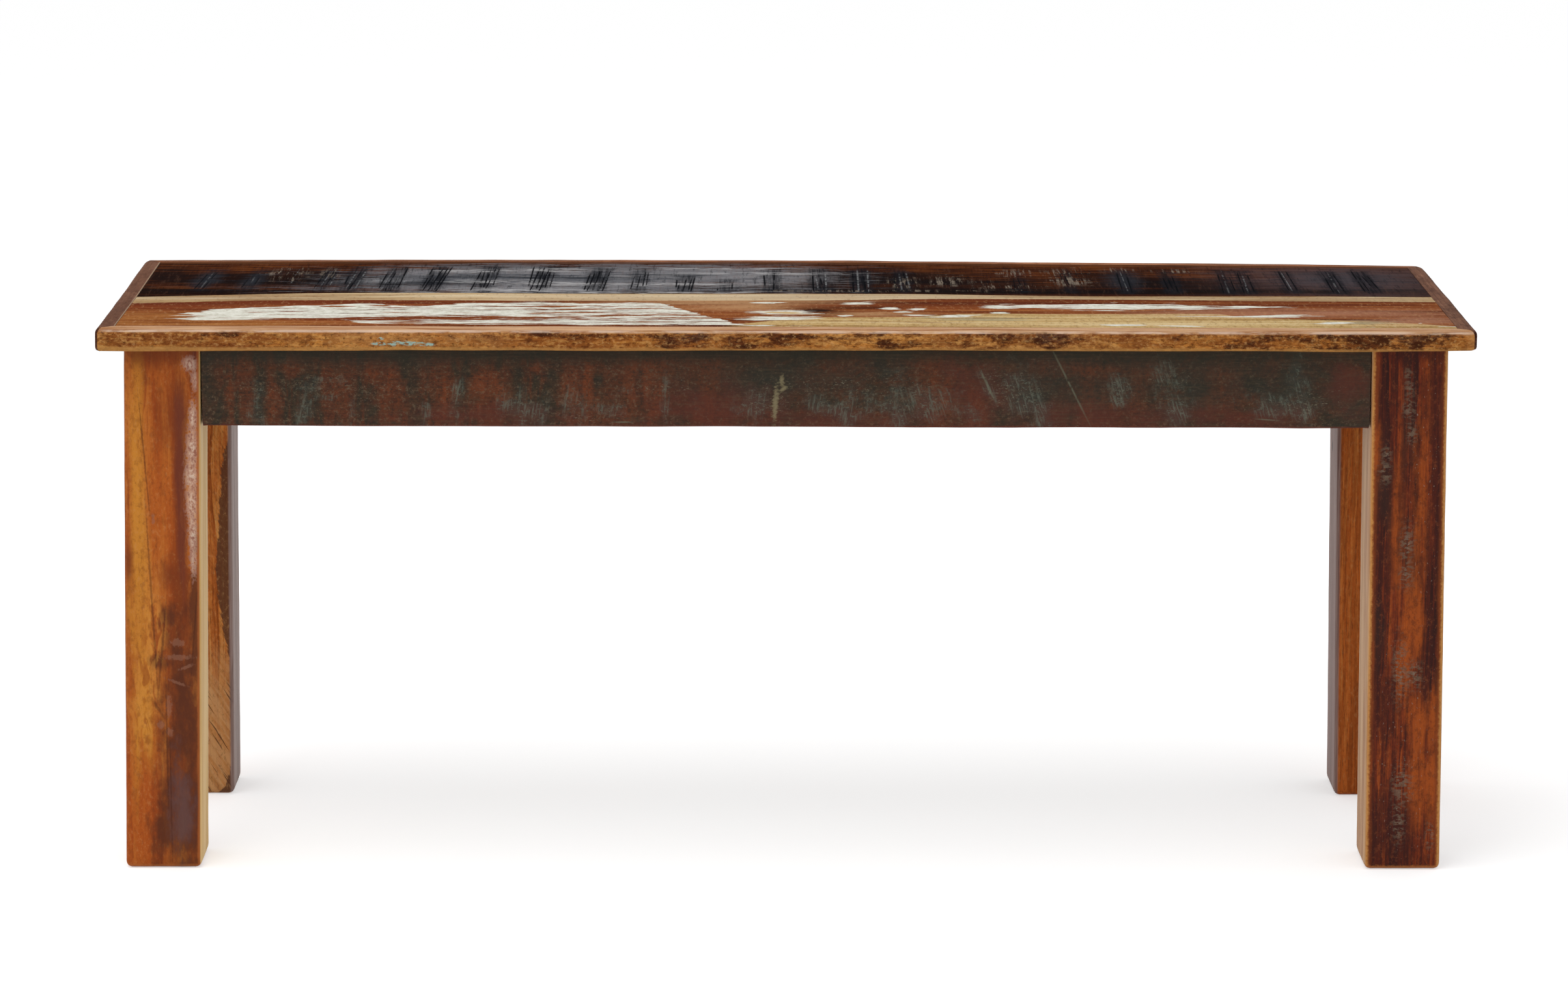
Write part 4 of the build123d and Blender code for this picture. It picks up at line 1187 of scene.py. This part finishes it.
def legRearLeftFinish():
    # cross-grained hardwood, oiled, its inner arris still in old dark paint, one side silvered grey
    look = legRearLeftLook
    at = wood("crossGrainedHardwood", "Z", look)
    x, (y, z) = keptAcross(), at["xyz"][1:]
    sweep = addNode("Mapping", {0: mix["place"], 1: Vector((-500, 60, 60)) * mm,
                                2: Euler((0, math.radians(-32), 0))}, vector_type="TEXTURE").outputs[0]
    diagonal = streaks((5, 14, 70), (0.38, 0.66), 103, 5.0, 0.65, 0.6, sweep)
    low = both(pastLine(look["paleBelow"], z, 30), pastLine(look["paleTo"], y, 5))
    layOver(diagonal, "#7a4014", amount=0.35)
    layOver(low, "#c08a55", amount=0.6)
    layOver(both(low, streaks((4, 14, 50), (0.4, 0.6), 105, 5.0, 0.6, place=sweep)), "#d9a873", amount=0.5)
    cracks = both(low, streaks((2.2, 20, 60), (0.61, 0.65), 107, 3.0, 0.6, place=sweep))
    layOver(cracks, "#53301a", amount=0.8, lift=-0.3)
    edge = lineAlong(z, look["paintLine"], (0, 432), (-10, 20))
    reach = addNode("Math", {0: look["outside"], 1: edge}, operation="SUBTRACT").outputs[0]
    paint = both(pastLine(x, reach, 0.7, diagonal, 0.5), pastLine(look["frontTo"], y, 1.0))
    layOver(paint, "#5f3a26", 0.5, 0.12, 0.9)
    toothed((2.6, 6, 3.6), 109, "#5a2f14", "#d3a068", (0.36, 0.28))
    layOver(pastLine(x, look["sideFrom"], 1.0), toneRamp(at["tone"], look["side"]), 0.5)
    return varnish(0.12)


def legRearRightFinish():
    # straight, fine-grained hardwood, oiled golden brown, with one side silvered grey
    look = legRearRightLook
    at = wood("straightGrainedHardwood", "Z", look)
    x = keptAcross()
    layOver(streaks((2.4, 2.4, 60), (0.4, 0.62), 113, 4.0, 0.6), "#6b3613", amount=0.4)
    toothed((2.4, 6, 5), 115, "#5f2e10", "#c58b54", (0.34, 0.26))
    layOver(pastLine(look["sideTo"], x, 1.0), toneRamp(at["tone"], look["side"]), 0.5)
    layOver(spots(legSide, look["hole"], 0.4), "#2b1c1a", amount=0.9)
    return varnish(0.12)


apronFrontLook = {
    "face": apronFace, "shadeFrom": 0.421, "edgeTo": 0.3668, "leanFrom": 0.09,  # m
    "seed": 71, "wander": 8, "pith": (0, -100, 150), "ring": 6, "shares": (0.05, 0.3, 0.35),
    "poreShare": 0.15,
    "tones": {0.25: "#3c1d13", 0.42: "#54291a", 0.58: "#6c3820", 0.78: "#854b28"},
    "pore": "#1d0f0b", "roughness": 0.5, "relief": 0.1, "lean": (8, -17),
    "paint": {0.34: "#191d1a", 0.5: "#27281f", 0.64: "#3d3727"},
    "lines": [(227, 400.8, 0.7, 26, 27), (159.8, 402.8, 0.8, 12, 26), (-130.8, 369.8, 6.5, 0.6),
        (385.4, 372.7, 8, 0.5, -4)],
    "cream": [(-8.6, 385.8, 2.0, 13, -4), (-3.6, 403.9, 1.6, 4), (-2.6, 396.8, 3, 1.3, 30)],
    "marks": {
        "rust": [(-445.5, 393, 4, 26), (-432.4, 410, 4, 8), (-432.4, 380.9, 4, 13), (-396.3, 413, 11, 5),
            (-366.3, 396.9, 6, 22), (-353.3, 392.9, 4, 26), (-332.2, 410, 9, 9), (-317.2, 392.9, 9, 27),
            (-275.1, 396.9, 8, 22), (-239.1, 393.9, 17, 27), (-200, 413.9, 5, 6), (-411.4, 382.9, 6, 20),
            (-160.9, 400.9, 20, 30), (-110.8, 396.9, 26, 30), (-60.7, 398.9, 24, 30),
            (124.7, 396.8, 16, 28), (149.8, 390.8, 14, 26), (255.1, 385.7, 26, 26), (350.3, 390.7, 12, 26),
            (456.6, 402.7, 10, 16), (230, 412.8, 60, 6)],
        "bars": [(-463.5, 399, 10, 34), (-420.4, 401, 5, 30), (-382.3, 401, 6, 34, -5),
            (-341.3, 396.9, 3, 30, -4), (-299.2, 404.9, 5, 26), (-258.1, 400.9, 4, 26),
            (-215, 402.9, 6, 30), (-187, 404.9, 6, 22), (-150.9, 402.9, 5, 16), (-223, 374.8, 5, 8)],
        "scuffs": [(-376.3, 404, 9, 1.6), (-380.3, 397.9, 5, 3), (-386.4, 381.9, 4, 17, -6),
            (-424.4, 378.9, 5, 13), (-355.3, 404, 2.3, 3.4), (-370.3, 389.9, 6, 2),
            (-263.1, 388.9, 3.4, 16, -8), (-288.2, 380.9, 3, 11, -6), (-348.3, 377.9, 2, 9, -8),
            (-214, 381.9, 9, 10), (-193, 381.9, 4, 14, -4), (-175.9, 383.9, 4, 8, -14),
            (-162.9, 383.9, 3.6, 9, -8), (-145.9, 380.8, 7, 3.4, -20), (-131.8, 386.8, 4, 6.4, -12),
            (-96.8, 388.8, 2.7, 18), (-24.6, 382.8, 9, 9), (46.6, 380.8, 9, 10, -10), (71.6, 380.8, 16, 8),
            (89.7, 386.8, 9, 14), (115.7, 384.8, 22, 11), (27.5, 384.8, 10, 8), (159.8, 402.8, 4, 12, 28),
            (181.9, 395.8, 7, 17, 20), (188.9, 394.8, 6, 20, 20), (198.9, 383.7, 6, 20, 16),
            (308.2, 391.7, 6, 25, 14), (316.2, 380.7, 6, 14, 8), (265.1, 392.7, 6, 11, 8),
            (296.2, 391.7, 2, 6), (412.5, 392.7, 6, 22, 14), (393.4, 383.7, 19, 6), (418.5, 380.7, 5, 8)],
        "crumbs": [(-409.4, 398, 28, 3), (-373.3, 402, 14, 9), (-341.3, 398.9, 16, 8),
            (-301.2, 395.9, 40, 3), (-100.8, 398.9, 20, 6), (-12.6, 388.8, 16, 10), (59.6, 398.8, 60, 8),
            (179.9, 398.8, 26, 14), (265.1, 394.8, 10, 8), (310.2, 404.8, 14, 6), (420.5, 384.7, 22, 10),
            (-150.9, 372.8, 26, 3)],
        "green": [(-301.2, 425, 200, 9), (199.9, 405.8, 60, 28), (300.1, 420.8, 100, 12),
            (330.2, 400.8, 26, 26), (410.4, 400.7, 46, 30), (-10.6, 424.9, 160, 7), (0, 404, 90, 18),
            (450, 394, 30, 26), (240, 396, 60, 20)],
        "red": [(29.5, 372.8, 120, 8), (149.8, 392.8, 24, 24), (-60.7, 380.8, 50, 14),
            (250.1, 374.7, 60, 9), (-241.1, 374.9, 60, 8), (448.6, 400.7, 14, 18), (360.3, 374.7, 60, 7)],
    },
}
apronLook = dict(apronFrontLook, seed=83, marks={})


def apronFinish(name, grain, look, bands):
    # old green-black oil paint, rubbed through in upright bands to rust-red primer and wood, waxed.
    # It gives the eye a dark satin rail with smoky red patches and grey-green scuffs.
    at = wood(name, grain, look)
    x, y, z = at["xyz"]
    seed = look["seed"]
    across = x if grain == "X" else y

    def sized(length, height):
        return (length, 22, height) if grain == "X" else (22, length, height)
    upright = streaks(sized(12, 56), (0.40, 0.60), seed + 5, 5.0, 0.62, 0.5)
    smoky = streaks(sized(40, 30), (0.34, 0.62), seed + 7, 6.0, 0.7, 0.4)
    dark = addNode("Mix", {0: pastLine(bands * mm, across, 60), 2: smoky, 3: upright}).outputs[0]
    rag = streaks(sized(20, 18), None, seed + 9, 6.0, 0.7)
    grit = streaks(sized(3.4, 1.6), None, seed + 11, 4.0, 0.7)
    if look["marks"]:
        rust = marked("rust", 0.9, rag, 0.9)
        dark = either(without(dark, rust), marked("bars", 0.9, rag, 0.8))
    layOver(dark, toneRamp(grit, look["paint"]), 0.45, 0.06, 0.86)
    if look["marks"]:
        layOver(both(without(rust, dark), upright), "#8a4321", amount=0.6)
    layOver(streaks(sized(5, 3.4), (0.46, 0.60), seed + 23, 5.0, 0.75), "#211f1a", amount=0.32)
    toothed(sized(3.0, 2.6), seed + 25, "#1a1916", "#7d6852", (0.6, 0.5))
    layOver(rag, "#35301f", amount=0.35)
    if look["marks"]:
        daub("green", 0.9, rag, 1.0, "#2e2e26", 0.6)
        daub("red", 0.9, rag, 1.0, "#5d2c22", 0.55)
    layOver(pastLine(z, look["shadeFrom"], 6, rag, 4.0), "#2b2a1f", amount=0.6)
    layOver(streaks(sized(26, 1.5), (0.52, 0.66), seed + 17, 3.0, 0.6), "#5a4836", amount=0.22)
    leaning = [addNode("Mapping", {0: mix["place"], 2: Euler((0, math.radians(lean), 0))},
                       vector_type="TEXTURE").outputs[0] for lean in look["lean"]]
    hatches = [streaks(sized(1.9, 17), (0.50, 0.62), seed + 13, 5.0, 0.7, place=place) for place in leaning]
    hatch = addNode("Mix", {0: pastLine(across, look["leanFrom"], 20),
                            2: hatches[0], 3: hatches[1]}).outputs[0]
    specks = streaks(sized(3.6, 1.7), (0.56, 0.63), seed + 19, 4.0, 0.7)
    if look["marks"]:
        haze = marked("scuffs", 0.9, rag, 1.9)
    else:
        haze = streaks(sized(70, 30), (0.55, 0.72), seed + 15, 5.0, 0.65)
    layOver(haze, "#4a4f48", 0.6, amount=0.22)
    layOver(both(haze, either(hatch, specks)), "#6f7567", 0.6, 0.05, 0.52)
    if look["marks"]:
        crumbs = both(marked("crumbs", 0.95, rag, 1.2),
                      streaks(sized(3.0, 1.3), (0.57, 0.64), seed + 21, 5.0, 0.75))
        layOver(crumbs, "#8d856f", 0.6, 0.05, 0.6)
        broken = streaks(sized(4, 8), (0.30, 0.44), 89)
        layOver(both(spots(apronFace, look["lines"], 0.8, rag, 0.3), broken), "#757864", 0.6, amount=0.55)
        layOver(spots(apronFace, look["cream"], 0.6, grit, 0.9), "#8f8464", 0.6, 0.12, 0.75)
    layOver(pastLine(look["edgeTo"], z, 1.0, rag, 0.6), "#6b2f22", amount=0.7)
    return varnish(0.16)


innerLook = {
    "seed": 91, "wander": 8, "pith": (0, 300, 300), "ring": 4, "shares": (0.5, 0.7, 0.7),
    "tones": {0.25: "#9a7446", 0.45: "#b8915c", 0.6: "#c9a671", 0.8: "#d8bb8c"}, "pore": "#7a5630",
    "roughness": 0.7, "relief": 0.12,
}


def innerFinish():
    # plain sawn softwood, unfinished: the matt pale yellow blocks and bearer under the seat
    wood("sawnSoftwood", "X", innerLook)
    return varnish(0.2)


def screwFinish():
    # zinc-plated steel, cold headed: dull grey metal with fine wear
    steel = startNodes(bpy.data.materials.new("zincPlatedSteel"))
    dull = streaks((1.5, 1.5, 1.5), None, 5, 3.0, 0.6, place=addNode("TexCoord").outputs["Object"])
    rough = addNode("MapRange", {"Value": dull, "To Min": 0.28, "To Max": 0.5}).outputs[0]
    colour = toneRamp(dull, {0.35: "#8f9193", 0.65: "#b4b6b8"})
    surface = addNode("BsdfPrincipled", {"Base Color": colour, "Metallic": 1.0, "Roughness": rough})
    addNode("OutputMaterial", {"Surface": surface.outputs[0]})
    return steel


apronMaterial = apronFinish("scrapedDarkPaint", "X", apronLook, -2000)
apronEndMaterial = apronFinish("scrapedDarkPaintEnds", "Y", apronLook, 2000)
stripRearMaterial = stripFinish("reddishHardwoodLipping", "X", stripRearLook, "#b5835f")
stripEndMaterial = stripFinish("stainedHardwoodLipping", "Y", stripEndLook, "#a5765c")
apronFrontMaterial = apronFinish("scrapedGreenBlackPaint", "X", apronFrontLook, -150)
for piece, node, slotName, material, *look in (
        (boardFront, "seat_board_front", "board_front_wood", boardFrontFinish(), boardFrontLook),
        (boardRear, "seat_board_rear", "board_rear_wood", boardRearFinish(), boardRearLook),
        (strips["stripFront"], "edging_front", "edging_front_wood", stripFrontFinish(), stripFrontLook),
        (strips["stripRear"], "edging_rear", "edging_rear_wood", stripRearMaterial),
        (strips["stripLeft"], "edging_left", "edging_end_wood", stripEndMaterial),
        (strips["stripRight"], "edging_right", "edging_end_wood", stripEndMaterial),
        (legFrontLeft, "leg_front_left", "leg_front_left_wood", legFrontLeftFinish(), legFrontLeftLook),
        (legFrontRight, "leg_front_right", "leg_front_right_wood", legFrontRightFinish(), legFrontRightLook),
        (legRearLeft, "leg_rear_left", "leg_rear_left_wood", legRearLeftFinish()),
        (legRearRight, "leg_rear_right", "leg_rear_right_wood", legRearRightFinish()),
        (apronFront, "apron_front", "apron_front_paint", apronFrontMaterial, apronFrontLook),
        (apronRear, "apron_rear", "apron_paint", apronMaterial),
        (apronLeft, "apron_left", "apron_paint", apronEndMaterial),
        (apronRight, "apron_right", "apron_paint", apronEndMaterial)):
    finishPiece(piece, node, slotName, material, *look)
    if node in legs["aside"]:
        standAside(piece, legs["aside"][node])

innerMaterial, screwMaterial = innerFinish(), screwFinish()
for node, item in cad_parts.items():
    if not item.hide_render:
        item.data.materials.clear()
        item.data.materials.append(screwMaterial if "screws" in node else innerMaterial)
print("stage: finishes")
